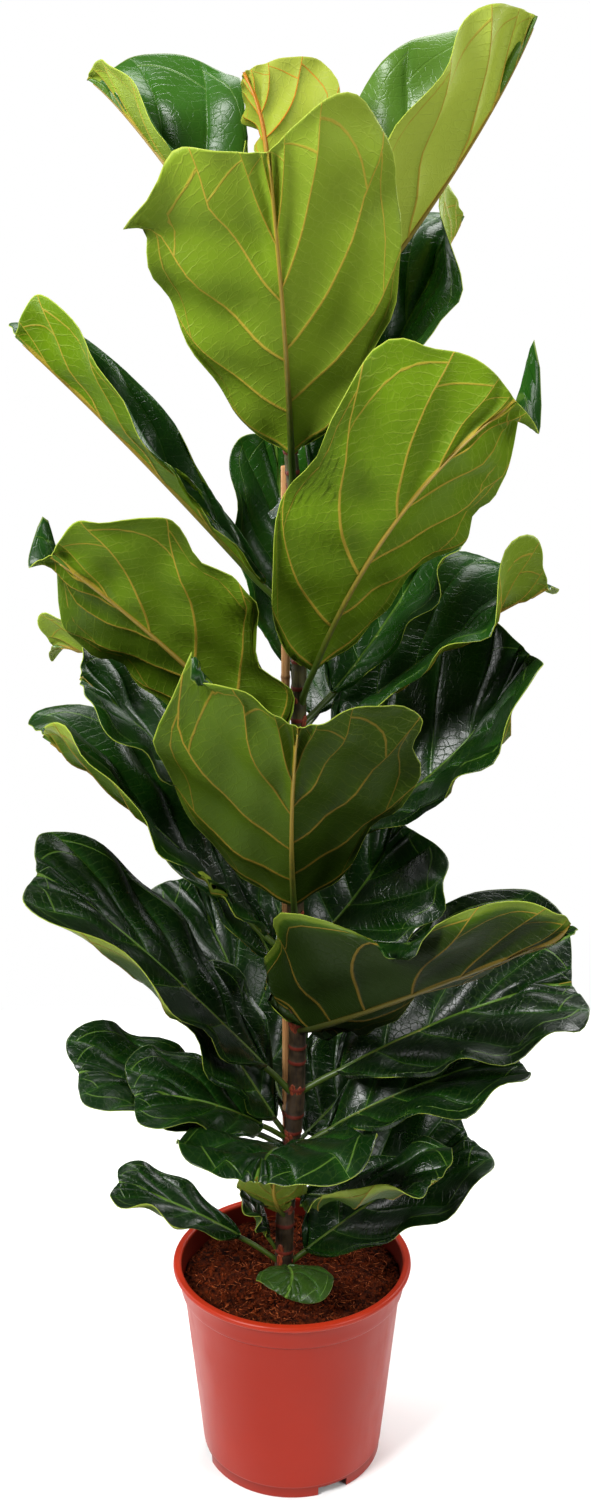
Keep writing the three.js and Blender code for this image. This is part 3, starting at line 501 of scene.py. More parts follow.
LEAVES = [
    dict(name="leaf_01", height=1075, middle=(-20, -5, 1130), tip=(-35, 5, 1170), left=60,
         right=35, stalk=15, face=270, roll=35, fold=35, end_shape=0.45, notch=-0.05,
         tugs=((LEFT, 0.7, 0, 12, 0, 0.25),), young=True),
    dict(name="leaf_02", height=1000, middle=(-105, 50, 1120), tip=(-155, 70, 1170), left=55,
         right=76, face=165, roll=20, tip_roll=-30, fold=40, waist=0.4, end_shape=0.45, notch=0,
         upper_light_and_shade=0.15, tugs=((RIGHT, 0.55, 10, 10, 0, 0.12),)),
    dict(name="leaf_03", height=870, middle=(-5, -90, 995.5), tip=(-15, -140, 1110), left=92,
         right=92, face=270, fold=6, notch_left=0.28, notch_right=0.02, lower_tone=0.15,
         lower_tone_left=0.25,
         tugs=((RIGHT, 0.86, 26, -16, 0, 0.05), (RIGHT, 1, 4, 42, 0, 0.045),
               (RIGHT, 0.97, -4, 0, -26, 0.12), (LEFT, 0.95, 0, 0, 22, 0.16),
               (LEFT, 0.6, -6, 0, 0, 0.15))),
    dict(name="leaf_04", height=945, middle=(115, 15, 1095), tip=(180, 30, 1210), left=95,
         right=92, face=10, roll=-9, tip_roll=22, fold=45, end_shape=0.5, notch=-0.02,
         lower_tone=1, upper_light_and_shade=0.75, tugs=((RIGHT, 0.95, 0, 15, 0, 0.08),)),
    dict(name="leaf_05", height=830, middle=(85, 50, 980), tip=(135, 80, 1070), left=75,
         right=55, face=40, roll=-20, tip_roll=60, fold=30, lower_tone=0.4, upper_light_and_shade=-0.2),
    dict(name="leaf_06", height=768, middle=(-110, -10, 890), tip=(-205, -20, 985), left=62,
         right=42, face=180, roll=20, tip_roll=-45, fold=36, waist=0.3, notch=0.1),
    dict(name="leaf_07", height=684, middle=(-5, 50, 805), tip=(-14, 66, 900), left=44, right=55,
         stalk=36, face=100, fold=10, waist=-0.2),
    dict(name="leaf_08", height=700, middle=(68, -80, 846), tip=(158, -100, 946), left=78,
         right=94, face=288, fold=8, base_shape=0.68, notch_left=0.05, notch_right=0,
         lower_tone=0.04,
         tugs=((RIGHT, 0.84, 8, 10, 0, 0.07), (RIGHT, 0.6, -14, 0, 0, 0.1),
               (RIGHT, 0.98, 0, -30, 0, 0.06), (LEFT, 0.92, -80, 88, 70, 0.06))),
    dict(name="leaf_09", height=680, middle=(65, 30, 740), tip=(120, 40, 830), left=70, right=60,
         face=20, roll=-25, fold=25),
    dict(name="leaf_10", height=650, middle=(110, 25, 730), tip=(205, 30, 785), left=75,
         right=82, face=5, roll=-16, tip_roll=55, fold=20, lower_tone=0.2),
    dict(name="leaf_11", height=670, middle=(45, 110, 692), tip=(85, 172, 724), left=60,
         right=55, face=60, roll=-5, fold=20),
    dict(name="leaf_12", height=570, middle=(115, 10, 635), tip=(190, 10, 735), left=95,
         right=95, face=-5, roll=-28, fold=20, upper_light_and_shade=-0.3),
    dict(name="leaf_13", height=610, middle=(105, 75, 655), tip=(183, 108, 712), left=60,
         right=55, stalk=60, face=35, roll=-23, fold=12),
    dict(name="leaf_14", height=480, middle=(50, 40, 510), tip=(94, 55, 576), left=85, right=85,
         stalk=14, face=40, roll=-22, fold=15, waist=-0.2),
    dict(name="leaf_15", height=510, middle=(0, -85, 620), tip=(5, -145, 720), left=92,
         right=100, stalk=28, face=270, fold=8, notch_left=0.12, notch_right=0.25,
         lower_tone_left=-0.45, lower_tone_right=0.05,
         tugs=((RIGHT, 0.98, -10, 68, 0, 0.06), (RIGHT, 0.84, 6, 4, -12, 0.08),
               (LEFT, 0.93, 24, -4, 10, 0.09), (LEFT, 1, 0, 0, 22, 0.08),
               (LEFT, 0.66, 12, 0, 0, 0.09))),
    dict(name="leaf_16", height=640, middle=(-92, -70, 758), tip=(-172, -110, 836), left=82,
         right=58, face=215, roll=-45, fold=8, base_shape=0.65, end_shape=0.4,
         lower_tone_left=0.05, lower_tone_right=-0.2,
         tugs=((LEFT, 0.86, 6, 0, 0, 0.06), (LEFT, 0.97, -28, 0, 0, 0.07),
               (LEFT, 0.68, -14, 0, 0, 0.08), (LEFT, 0.54, -4, 0, 0, 0.06),
               (LEFT, 0.28, -42, 0, 0, 0.1), (LEFT, 0.1, 34, -10, 0, 0.07),
               (RIGHT, 0.93, -70, 64, 60, 0.08))),
    dict(name="leaf_17", height=615, middle=(-122, 84, 694), tip=(-205, 112, 716), left=50,
         right=50, face=170, roll=5, tip_roll=-50, fold=20, lower_tone=0.3),
    dict(name="leaf_18", height=570, middle=(-105, -18, 668), tip=(-160, -50, 732), left=68,
         right=56, face=190, roll=22, fold=10),
    dict(name="leaf_19", height=474, middle=(-110, -45, 610), tip=(-190, -70, 690), left=72,
         right=75, face=195, roll=16, tip_roll=-25, fold=12, waist=0.3, pale_margin_left=0.5),
    dict(name="leaf_20", height=440, middle=(-70, 45, 555), tip=(-120, 75, 620), left=60,
         right=60, face=165, roll=22, fold=12),
    dict(name="leaf_21", height=353, middle=(-120, -40, 500), tip=(-200, -60, 575), left=85,
         right=62, face=190, roll=20, fold=6, cup_left=0, edge_left=1.3, upper_light_and_shade=-0.3,
         pale_margin_left=0.5),
    dict(name="leaf_22", height=318, middle=(-52, 85, 420), tip=(-95, 130, 497), left=80,
         right=85, stalk=16, face=145, roll=8, fold=10),
    dict(name="leaf_23", height=310, middle=(-48, 0, 385), tip=(-88, 20, 450), left=68, right=48,
         stalk=20, face=170, roll=18, fold=12),
    dict(name="leaf_24", height=300, middle=(-105, -20, 360), tip=(-175, -40, 395), left=60,
         right=54, face=185, roll=12, fold=8, wave=8, curl=-15, waist=-0.2, pale_margin_left=0.4),
    dict(name="leaf_25", height=308, middle=(-66, -41, 362), tip=(-128, -65, 383), left=52,
         right=52, face=200, roll=15, fold=5, waist=-0.15),
    dict(name="leaf_26", height=292, middle=(-14, -93, 350), tip=(-27, -168, 367), left=90,
         right=72, stalk=44, face=270, fold=4, pale_margin_left=0.5),
    dict(name="leaf_27", height=186, middle=(-75, -10, 235), tip=(-150, -10, 270), left=38,
         right=28, stalk=45, face=180, roll=15, fold=4, edge_left=1, pale_margin_left=0.6,
         pale_margin_right=0.6),
    dict(name="leaf_28", height=195, middle=(-29, -6, 230), tip=(-46, -16, 270), left=32,
         right=32, stalk=20, face=200, roll=20, fold=10),
    dict(name="leaf_29", height=255, middle=(60, -70, 295), tip=(115, -110, 330), left=60,
         right=60, stalk=22, face=-35, roll=-5, fold=5, edge_right=1.5, wave=7,
         pale_margin_right=0.45),
    dict(name="leaf_30", height=184, middle=(70, 0, 245), tip=(155, 20, 295), left=75, right=70,
         stalk=20, face=10, roll=-25, fold=15),
    dict(name="leaf_31", height=184, middle=(0, -45, 200), tip=(-5, -70, 195), left=36, right=30,
         stalk=12, face=265, fold=0, wave=1, waist=0, notch=-0.05, upper_light_and_shade=0.15),
    dict(name="leaf_32", height=296, middle=(90, -10, 355), tip=(190, -10, 390), left=70,
         right=70, face=0, roll=-15, fold=12, upper_light_and_shade=-0.2),
    dict(name="leaf_33", height=353, middle=(130, 0, 420), tip=(235, 0, 455), left=100, right=85,
         face=0, roll=-25, fold=12, upper_light_and_shade=-0.5),
    dict(name="leaf_34", height=412, middle=(70, -120, 490), tip=(180, -200, 575), left=60,
         right=82, stalk=24, face=-60, roll=42, twist=-34, fold=21, wave=9, waves=2, phase=0.1,
         waist=-0.15, base_shape=0.4, end_shape=0.55, lobe=120, lower_tone=-0.75,
         pale_margin_right=0.95, flare_right=9,
         tugs=((RIGHT, 0.95, 0, 0, 25, 0.1), (RIGHT, 0.72, -50, 0, 0, 0.19),
               (RIGHT, 0.26, 14, 0, 0, 0.22))),
    dict(name="leaf_35", height=235, middle=(-15, -38, 272), tip=(-14, -62, 304), left=29,
         right=31, stalk=10, face=270, fold=5, wave=3, waist=0.45, notch=-0.05, lower_tone=0.25),
    dict(name="leaf_36", height=300, middle=(40, 40, 322), tip=(82, 78, 352), left=58, right=62,
         stalk=14, face=60, roll=-15, fold=12),
]

USUAL_LEAF = dict(
    stalk=35, roll=0, twist=0, tip_roll=0, fold=18, cup=0.25, edge=0, curl=0,
    wave=6, waves=2.5, phase=0, waist=0.1,
    base_shape=0.75, end_shape=0.3, notch=0.1, lobe=0, flare=0, tugs=(),
    young=False, lower_tone=0, upper_light_and_shade=0, pale_margin=0,
)
print(len(LEAVES), "leaves listed")

# %% [markdown]
# The stem is not straight: from a foot a little left of the middle it leans right, comes
# upright, and leans left again at the top. A few points are enough, because everything that
# grows on it asks for its centre by height.

# %% Find the stem's centre
STEM_AXIS = np.array([
    (-8, 0, 130), (-6, 0, 240), (3, 0, 343), (5, 0, 400), (3, 0, 523),
    (6, 0, 728), (1, 0, 875), (-9, 0, 1000), (-16, 0, 1085),
], float)
STEM_TOP = STEM_AXIS[-1, 2]
STEM_RADIUS_LOW = 8.5
STEM_RADIUS_TOP = 4.5


def stem_centre(height):
    x, y = (np.interp(height, STEM_AXIS[:, 2], STEM_AXIS[:, axis]) for axis in range(2))
    return np.array([x, y, height])


def stem_radius(height):
    return np.interp(height, (STEM_AXIS[0, 2], STEM_TOP), (STEM_RADIUS_LOW, STEM_RADIUS_TOP))


print("the stem ends", STEM_TOP, "mm above the floor")

# %% [markdown]
# The midrib of a leaf is a parabola through its three points, much as a stalk bends under its
# own blade. A curve object could draw it, but the blade also needs to know which way is up. So
# at every step along it we keep a small frame of directions: along the midrib, to the blade's
# right, and up. The blade is laid on these frames later.

# %% Bend the midribs
MIDRIB_STEPS = 60
OVERSHOOT = 1.25
PARABOLA_END = 1.6
PARABOLA_POINTS = 700
START_IN_STEM = 0.6
PAST_TIP = 1.2
CURL_FROM = 0.7
TIP_ROLL_FROM = 0.7
TIP_ROLL_LENGTH = 0.3
BEND_POWER = 1.5
TINY = 1e-9


def unit(vectors):
    return vectors / np.maximum(np.linalg.norm(vectors, axis=-1, keepdims=True), TINY)


def turned(first, second, angle):
    """Turn first towards second by an angle, and second with it."""
    cos, sin = np.cos(angle)[:, None], np.sin(angle)[:, None]
    return first * cos + second * sin, second * cos - first * sin


def parabola(start, bend, end, t):
    """The point at t of the arc that leaves start towards bend and reaches end when t is 1."""
    return (1 - t) ** 2 * start + 2 * t * (1 - t) * bend + t * t * end


def midrib_of(leaf):
    """The midrib's points and directions at equal steps from the stem, and the blade's length."""
    centre = stem_centre(leaf["height"])
    middle, tip = np.array(leaf["middle"], float), np.array(leaf["tip"], float)
    outwards = unit((middle - centre) * (1, 1, 0))
    start = centre + outwards * START_IN_STEM * stem_radius(leaf["height"])
    t = np.linspace(0, PARABOLA_END, PARABOLA_POINTS)[:, None]
    arc = parabola(start, 2 * middle - (start + tip) / 2, tip, t)
    lengths = np.r_[0, np.cumsum(np.linalg.norm(np.diff(arc, axis=0), axis=1))]
    total = np.interp(1, t[:, 0], lengths)
    blade = total - leaf["stalk"]
    places = np.linspace(0, OVERSHOOT * total, MIDRIB_STEPS + 1)
    points = np.stack([np.interp(places, lengths, arc[:, axis]) for axis in range(3)], 1)
    along = unit(np.gradient(points, axis=0))
    facing = math.radians(leaf["face"])
    level = np.array((math.sin(facing), -math.cos(facing), 0))
    side = unit(level - (along @ level)[:, None] * along)
    up = np.cross(side, along)

    u = np.clip((places - leaf["stalk"]) / blade, 0, PAST_TIP)
    late = np.clip((u - CURL_FROM) / (1 - CURL_FROM), 0, PAST_TIP) ** BEND_POWER
    along, up = turned(along, up, math.radians(leaf["curl"]) * late)
    headings = unit(along[1:] + along[:-1]) * places[1]
    points = np.vstack([points[:1], points[0] + np.cumsum(headings, axis=0)])
    near_tip = np.clip((u - TIP_ROLL_FROM) / TIP_ROLL_LENGTH, 0, PAST_TIP) ** BEND_POWER
    roll = leaf["roll"] + leaf["twist"] * u + leaf["tip_roll"] * near_tip
    side, _ = turned(side, up, np.radians(roll))
    return dict(places=places, points=points, along=along, side=side, blade=blade)


def midrib_at(midrib, places):
    """The midrib's point and its three directions at distances from the stem."""
    pick = {}
    for key in ("points", "along", "side"):
        columns = [np.interp(places, midrib["places"], midrib[key][:, axis]) for axis in range(3)]
        pick[key] = np.stack(columns, -1)
    along = unit(pick["along"])
    side = unit(pick["side"] - (pick["side"] * along).sum(-1, keepdims=True) * along)
    return pick["points"], along, side, np.cross(side, along)


blade_lengths = [midrib_of({**USUAL_LEAF, **entry})["blade"] for entry in LEAVES]
print("blades are", round(min(blade_lengths)), "to", round(max(blade_lengths)), "mm long")

# %% [markdown]
# A blade is thought of twice: pressed flat, and as it grew. Flat, its outline is a formula,
# narrow near the stalk and broad near the end, with a slight waist, like a fiddle. Its side
# veins leave the midrib and sweep up to the margin, and the mesh's rows follow them, so that
# every ridge and groove of the blade lies on a row.

# %% Lay out a blade, pressed flat
OUTLINE_STEPS = 300
OUTLINE_END = 0.1
WAIST_PLACE = 0.3
WAIST_SPREAD = 0.14
LOBE_PLACE = 0.09
LOBE_SPREAD = 0.07
NOTCH_POWER = 6
VEIN_BEND = 0.52
VEIN_RISE = 0.30
FAN_SHARE = 0.18
# The columns from midrib to margin, close where the blade bends most
COLUMNS = np.array([
    0, 0.02, 0.05, 0.1, 0.16, 0.23, 0.31, 0.39, 0.47, 0.55, 0.63, 0.71, 0.78, 0.85, 0.91, 0.955,
    0.985, 1])


def ending(side):
    return "_right" if side == RIGHT else "_left"


def own(leaf, key, side):
    """A leaf's value for one side, or for both where it has no own one."""
    return leaf.get(key + ending(side), leaf[key])


def half_width(leaf, side):
    return leaf["right"] if side == RIGHT else leaf["left"]


def hill(value, place, spread):
    """1 at a place, and down to nothing on both sides of it."""
    return np.exp(-((value - place) / spread) ** 2)


def outline_of(leaf, blade, side):
    """A function from a share of the flat outline's length to its x and y."""
    to_end = np.linspace(0, 1, OUTLINE_STEPS)[1:]
    t = np.r_[np.linspace(0, 1 - OUTLINE_END, OUTLINE_STEPS), 1 - OUTLINE_END * (1 - to_end) ** 3]
    rise, fall = leaf["base_shape"], leaf["end_shape"]
    peak = rise / (rise + fall)
    shape = t ** rise * (1 - t) ** fall / (peak ** rise * (1 - peak) ** fall)
    shape *= 1 - leaf["waist"] * hill(t, WAIST_PLACE, WAIST_SPREAD)
    x = half_width(leaf, side) * shape
    lobe = hill(t, LOBE_PLACE, LOBE_SPREAD) - hill(0, LOBE_PLACE, LOBE_SPREAD)
    y = t * blade + own(leaf, "notch", side) * blade * t ** NOTCH_POWER * shape - leaf["lobe"] * lobe
    lengths = np.r_[0, np.cumsum(np.hypot(np.diff(x), np.diff(y)))]
    lengths /= lengths[-1]
    return lambda share: (np.interp(share, lengths, x), np.interp(share, lengths, y))


def flat_rows(leaf, blade, side, fan, main):
    """Flat x and y of one half: first a fan of straight rows at the base, then the curved rows."""
    outline = outline_of(leaf, blade, side)
    shares = np.r_[fan * FAN_SHARE, FAN_SHARE + (1 - FAN_SHARE) * (1 - (1 - main) ** 2)]
    start = np.r_[0 * fan, main * blade][:, None]
    end_x, end_y = (value[:, None] for value in outline(shares))
    curved = np.arange(len(shares))[:, None] >= len(fan)
    bend_x = np.where(curved, VEIN_BEND * end_x, end_x / 2)
    bend_y = np.where(curved, start + VEIN_RISE * (end_y - start), end_y / 2)
    r = COLUMNS[None, :]
    return parabola(0, bend_x, end_x, r), parabola(start, bend_y, end_y, r)


print("a row has", len(COLUMNS), "points from midrib to margin")

# %% [markdown]
# Then each flat point is bent into place. A lattice or a cloth simulation could do this, but the
# bends of a leaf are easy to say in numbers: its halves fold up in a V, curve like a cup, curl
# at the margin and swing in waves, and some margins are tugged aside. The fold is summed up in
# short steps outwards, so that the blade keeps its width however far it curls.

# %% Bend the pressed blade
SLOPE_STEPS = 8
LEFT_PHASE = 0.37
TUG_POWER = 2.5
CALM_BASE = 4
BLADE_SPAN = (-0.1, 1.1)


def bent(leaf, midrib, side, x, y):
    """Where the flat points of one half lie on the grown blade, and which way is up there."""
    points, along, sideways, up = midrib_at(midrib, leaf["stalk"] + y)
    width = half_width(leaf, side)

    def slope(q):
        return math.radians(leaf["fold"]) + own(leaf, "cup", side) * q + own(leaf, "edge", side) * q ** 3

    out, rise = 0 * x, 0 * x
    for step in range(SLOPE_STEPS):
        angle = slope(x * (step + 0.5) / SLOPE_STEPS / width)
        out += np.cos(angle) * x / SLOPE_STEPS
        rise += np.sin(angle) * x / SLOPE_STEPS
    placed = points + (side * out)[..., None] * sideways + rise[..., None] * up

    q = x / width
    angle = slope(q)[..., None]
    upper = -side * np.sin(angle) * sideways + np.cos(angle) * up
    outwards = side * np.cos(angle) * sideways + np.sin(angle) * up
    u = np.clip(y / midrib["blade"], *BLADE_SPAN)
    phase = leaf["phase"] + (0 if side == RIGHT else LEFT_PHASE)
    wave = np.sin(2 * math.pi * (leaf["waves"] * u + phase))
    swing = leaf["wave"] * q * q * wave * np.clip(CALM_BASE * u, 0, 1)
    placed = placed + swing[..., None] * upper
    for tug_side, where, sidewards, forwards, upwards, reach in leaf["tugs"]:
        if tug_side == side:
            share = (q ** TUG_POWER * hill(u, where, reach))[..., None]
            placed = placed + share * (sidewards * outwards + forwards * along + upwards * upper)
    return placed, upper


print("a blade curls outwards in", SLOPE_STEPS, "steps")

# %% [markdown]
# Real blades are quilted: between two side veins the blade bulges upwards, and each vein lies
# in a trough on the upper side and stands out as a rib on the lower side. A bump map could fake
# this, but not at the margin, where the outline shows it. So the rows are packed close beside
# every vein, and the relief is true geometry that catches the light. On top come a slow
# unevenness and a faint ruffle at the margin, different on every leaf by its seed.

# %% Define the relief of a blade
SIDE_VEINS = (0.02, 0.18, 0.37, 0.57, 0.74, 0.87)
VEIN_OFFSET = 0.04
BESIDE_VEIN = (0.04, 0.09)
BETWEEN_VEINS = 5
SWELLS = 3
SWELL_LENGTHS = (38, 70)
SMALLEST_NORMAL = 0.02


def vein_rows(side):
    """The rows' places along the midrib, and the count of side veins passed at each."""
    veins = np.array((0,) + SIDE_VEINS + (1,), float)
    veins[2:-1] += VEIN_OFFSET * (side == LEFT)
    near, far = BESIDE_VEIN
    spread = np.linspace(far, 1 - far, BETWEEN_VEINS + 2)[1:-1]
    between = np.r_[0, near, far, spread, 1 - far, 1 - near]
    counts = np.r_[(np.arange(len(veins) - 1)[:, None] + between).ravel(), len(veins) - 1]
    counts = counts[(counts == 0) | (counts >= 1)]
    return np.interp(counts, np.arange(len(veins)), veins), counts


def slow_waves(x, y, seed):
    """A smooth unevenness from -1 to 1 made of a few crossing swells."""
    draw = np.random.default_rng(seed)
    total = 0 * x
    for _ in range(SWELLS):
        angle, shift = draw.uniform(0, math.pi), draw.uniform(0, 2 * math.pi)
        length = draw.uniform(*SWELL_LENGTHS)
        total += np.sin(2 * math.pi * (x * math.cos(angle) + y * math.sin(angle)) / length + shift)
    return total / SWELLS


def grid_normals(points, guess):
    """Unit normals of a grid of points, all on guess's side of the sheet, even where it folds over."""
    normals = np.cross(np.gradient(points, axis=0), np.gradient(points, axis=1))
    normals[-1] = normals[-2]
    size = np.linalg.norm(normals, axis=-1, keepdims=True)
    facing = np.sign((normals * guess).sum())
    return np.where(size > SMALLEST_NORMAL, facing * normals / np.maximum(size, TINY), guess)


def eased(directions, passes=4):
    """Smooth a grid of directions along its first axis, so that a lift along them has no teeth."""
    for _ in range(passes):
        padded = np.concatenate([directions[:1], directions, directions[-1:]])
        directions = unit(padded[:-2] + 2 * padded[1:-1] + padded[2:])
    return directions


print("a blade has", len(vein_rows(RIGHT)[1]), "rows, most of them beside its side veins")

# %% [markdown]
# One half of a blade is now put together: laid flat, bent, lifted into quilts, and given its
# thickness to both sides. A modifier such as Solidify would give one thickness everywhere. Here
# the blade thins towards its margin, and the veins are sunk above and raised below.

# %% Define one half of a blade
FAN_ROWS = 5
FAN_COUNTS = 0.999
FULL_RELIEF_WIDTH = 70
QUILT_HEIGHT = 4.6
QUILT_POWER = 0.7
QUILT_FROM_MIDRIB = 0.25
QUILT_TO_MARGIN = 0.12
QUILT_FADE = 1.5
UNEVENNESS = 4.4
UNEVENNESS_RISE = 3
RUFFLE = 1.1
RUFFLE_POWER = 4
RUFFLE_SHIFT = 0.13
FLARE_POWER = 5
BLADE_THICKNESS = 0.9
MARGIN_THINNING = 0.35
RIB_HEIGHT = 0.9
RIB_POWER = 0.6
GROOVE_DEPTH = 0.35
LIT_MARGIN_FROM = 0.84
LIT_MARGIN_BLEND = 0.1


def blade_half(leaf, midrib, side, seed):
    """Upper and lower points of one half, in rows and columns, with its three flat maps."""
    main, counts = vein_rows(side)
    fan = (np.arange(FAN_ROWS) + 1) / (FAN_ROWS + 1)
    x, y = flat_rows(leaf, midrib["blade"], side, fan, main)
    placed, upper = bent(leaf, midrib, side, x, y)
    counts = np.r_[fan * FAN_COUNTS - 1, counts][:, None] + 0 * x
    r = COLUMNS[None, :] + 0 * x
    size = min(1.0, half_width(leaf, side) / FULL_RELIEF_WIDTH)

    from_vein = np.abs(counts - np.round(counts))
    inside = np.clip(r / QUILT_FROM_MIDRIB, 0, 1) * np.clip((1 - r) / QUILT_TO_MARGIN, 0, 1)
    fading = np.clip((len(SIDE_VEINS) + 1 - counts) / QUILT_FADE, 0, 1)
    bulge = np.sin(math.pi * np.clip(from_vein * 2, 0, 1) / 2) ** QUILT_POWER
    quilt = QUILT_HEIGHT * size * bulge * inside * fading
    near_midrib = np.clip(r * UNEVENNESS_RISE, 0, 1)
    uneven = UNEVENNESS * size * slow_waves(side * x, y, seed) * near_midrib
    ripple = np.sin(2 * math.pi * (counts + RUFFLE_SHIFT * seed))
    ruffle = RUFFLE * size * fading * r ** RUFFLE_POWER * ripple
    flare = own(leaf, "flare", side) * r ** FLARE_POWER
    lift = (quilt + uneven + ruffle + flare)[..., None]
    placed = placed + lift * eased(grid_normals(placed, upper))

    normals = grid_normals(placed, upper)
    on_vein = np.clip(1 - from_vein / BESIDE_VEIN[0], 0, 1) * (1 - r) ** RIB_POWER * (counts >= 0.5)
    thin = BLADE_THICKNESS * (1 - MARGIN_THINNING * r)[..., None] / 2
    top = placed + normals * (thin - (GROOVE_DEPTH * on_vein * size)[..., None])
    bottom = placed - normals * (thin + (RIB_HEIGHT * on_vein * size)[..., None])
    # Painted light and shade: each side is drawn lighter where it lies in light and darker where it lies
    # in shade, and a margin that curls up into the light is drawn paler
    rim = np.clip((r - LIT_MARGIN_FROM) / LIT_MARGIN_BLEND, 0, 1)
    lower_tone = own(leaf, "lower_tone", side) + own(leaf, "pale_margin", side) * rim
    upper_light_and_shade = own(leaf, "upper_light_and_shade", side) + 0 * r
    return top, bottom, np.stack([side * x / 100, y / 100, r, counts, lower_tone, upper_light_and_shade], -1)


print("quilts stand", QUILT_HEIGHT, "mm high, ribs", RIB_HEIGHT, "mm")

# %% [markdown]
# A mesh in Blender is a list of points and a list of faces that name them. Each piece is
# gathered here from simple sheets: grids, bands that close on themselves, and fans that close
# an end. Where two sheets meet, their points lie in one place and are merged, so that the
# piece is closed, as the real one is.

# %% Define helpers for meshes
FLAT_MAPS = ("flat", "veins", "light_and_shade")


def grid_faces(rows, columns, flip):
    """Triangles between neighbouring rows and columns of a grid, split alike on every sheet."""
    i, j = np.meshgrid(np.arange(rows - 1), np.arange(columns - 1), indexing="ij")
    a = (i * columns + j).ravel()
    b, c, d = a + 1, a + columns + 1, a + columns
    faces = np.concatenate([np.stack([a, b, c], 1), np.stack([a, c, d], 1)])
    return faces[:, ::-1] if flip else faces


def ring_faces(rings, sides):
    """Quads between closed rings of points, one ring after the other."""
    i, k = np.meshgrid(np.arange(rings - 1), np.arange(sides), indexing="ij")
    here, onwards = (i * sides + k).ravel(), (i * sides + (k + 1) % sides).ravel()
    return np.stack([here, here + sides, onwards + sides, onwards], 1)


def fan_faces(sides):
    """Triangles between a ring of points and one middle point that follows them."""
    around = np.arange(sides)
    return np.stack([around, (around + 1) % sides, 0 * around + sides], 1)


class Shape:
    """Points, faces and flat maps that are gathered for one mesh."""

    def __init__(self):
        self.points, self.faces, self.paints, self.maps = [], [], [], []
        self.count = 0

    def add(self, points, faces, paint=0, maps=None):
        """Add a sheet. paint is the number of its material in the list that mesh() gets."""
        points = np.asarray(points, float).reshape(-1, 3)
        channels = 2 * len(FLAT_MAPS)
        self.points.append(points)
        self.faces.append(np.asarray(faces) + self.count)
        self.paints.append(np.full(len(faces), paint))
        self.maps.append(np.zeros((len(points), channels)) if maps is None else maps.reshape(-1, channels))
        self.count += len(points)

    def mesh(self, name, materials, merge=1e-6):
        """The finished mesh in metres, with points closer than merge joined."""
        faces = [face for part in self.faces for face in part.tolist()]
        made = plain_mesh(name, (np.vstack(self.points) * MM).tolist(), faces)
        for material in materials:
            made.materials.append(material)
        made.polygons.foreach_set("material_index", np.concatenate(self.paints).astype(np.int32))
        shade_smooth(made)
        maps = np.vstack(self.maps)
        loops = np.empty(len(made.loops), np.int32)
        made.loops.foreach_get("vertex_index", loops)
        for number, key in enumerate(FLAT_MAPS):
            layer = made.uv_layers.new(name=key)
            layer.data.foreach_set("uv", maps[loops, 2 * number:2 * number + 2].ravel())
        close_seams(made, merge)
        return made


def shade_smooth(mesh):
    mesh.polygons.foreach_set("use_smooth", np.ones(len(mesh.polygons), bool))


def close_seams(mesh, distance):
    """Join points that lie in one place and drop the faces that this empties."""
    work = bmesh.new()
    work.from_mesh(mesh)
    bmesh.ops.remove_doubles(work, verts=work.verts, dist=distance)
    bmesh.ops.dissolve_degenerate(work, dist=distance, edges=work.edges)
    work.to_mesh(mesh)
    work.free()


def add_piece(name, mesh, slot, *nodes):
    """Put a finished mesh in the scene as a piece of the plant that stands for solid nodes."""
    piece = in_scene(name, mesh)
    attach(piece, "root")
    if nodes:
        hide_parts(*nodes)


print("flat maps on every mesh:", ", ".join(FLAT_MAPS))

# %% [markdown]
# Stalks, stem and cane are all rods that follow a path. Blender could sweep a circle along a
# curve. A short function does the same, and lets the radius differ round the rod too, as the
# uneven bark needs.

# %% Define a rod
ROD_SIDES = 12
STEEP = 0.8


def add_rod(shape, path, radii, paint, shares, sides=ROD_SIDES, tone_and_shading=0):
    """Add a closed rod to a shape: quads round it and a fan of triangles at each end."""
    along = unit(np.gradient(path, axis=0))
    upright = abs(along[len(along) // 2, 2]) > STEEP
    reference = np.array((1.0, 0, 0) if upright else (0, 0, 1.0))
    side = unit(np.cross(along, reference))
    up = np.cross(side, along)
    angle = np.linspace(0, 2 * math.pi, sides, endpoint=False)[None, :, None]
    ring = np.cos(angle) * side[:, None, :] + np.sin(angle) * up[:, None, :]
    points = path[:, None, :] + radii.reshape(len(path), -1, 1) * ring
    maps = np.zeros((len(path), sides, 2 * len(FLAT_MAPS)))
    maps[..., 2] = shares[:, None]
    maps[..., 4] = tone_and_shading
    shape.add(points, ring_faces(len(path), sides), paint, maps)
    for end in (points[0], points[-1, ::-1]):
        shape.add(np.vstack([end, end.mean(axis=0)]), fan_faces(sides), paint)


print("a rod has", ROD_SIDES, "sides unless it is told otherwise")

# %% [markdown]
# A whole leaf is two halves, each with an upper and a lower sheet and a narrow wall round them,
# and one rod for stalk and midrib. The rod is thick at its foot and lies half sunk in the
# lower side. The same function grows all 36 leaves from their rows.

# %% Grow the leaves
UPPER_PART, LOWER_PART, STALK_PART = 0, 1, 2
MIDRIB_BASE_RADIUS = 2.7
MIDRIB_TIP_RADIUS = 0.5
MIDRIB_TAPER = 1.15
MIDRIB_END = 0.97
MIDRIB_RINGS = 56
STALK_IN_STEM = 5
STALK_FOOT = (1.35, 1.25, 1.12, 1.05)
MIDRIB_SINK = 0.6
MIDRIB_GAP = 0.15
SINK_START = 12
SINK_LENGTH = 20
SMALL_LEAF_SHARE = 0.55
LENGTH_TO_FULL = 400


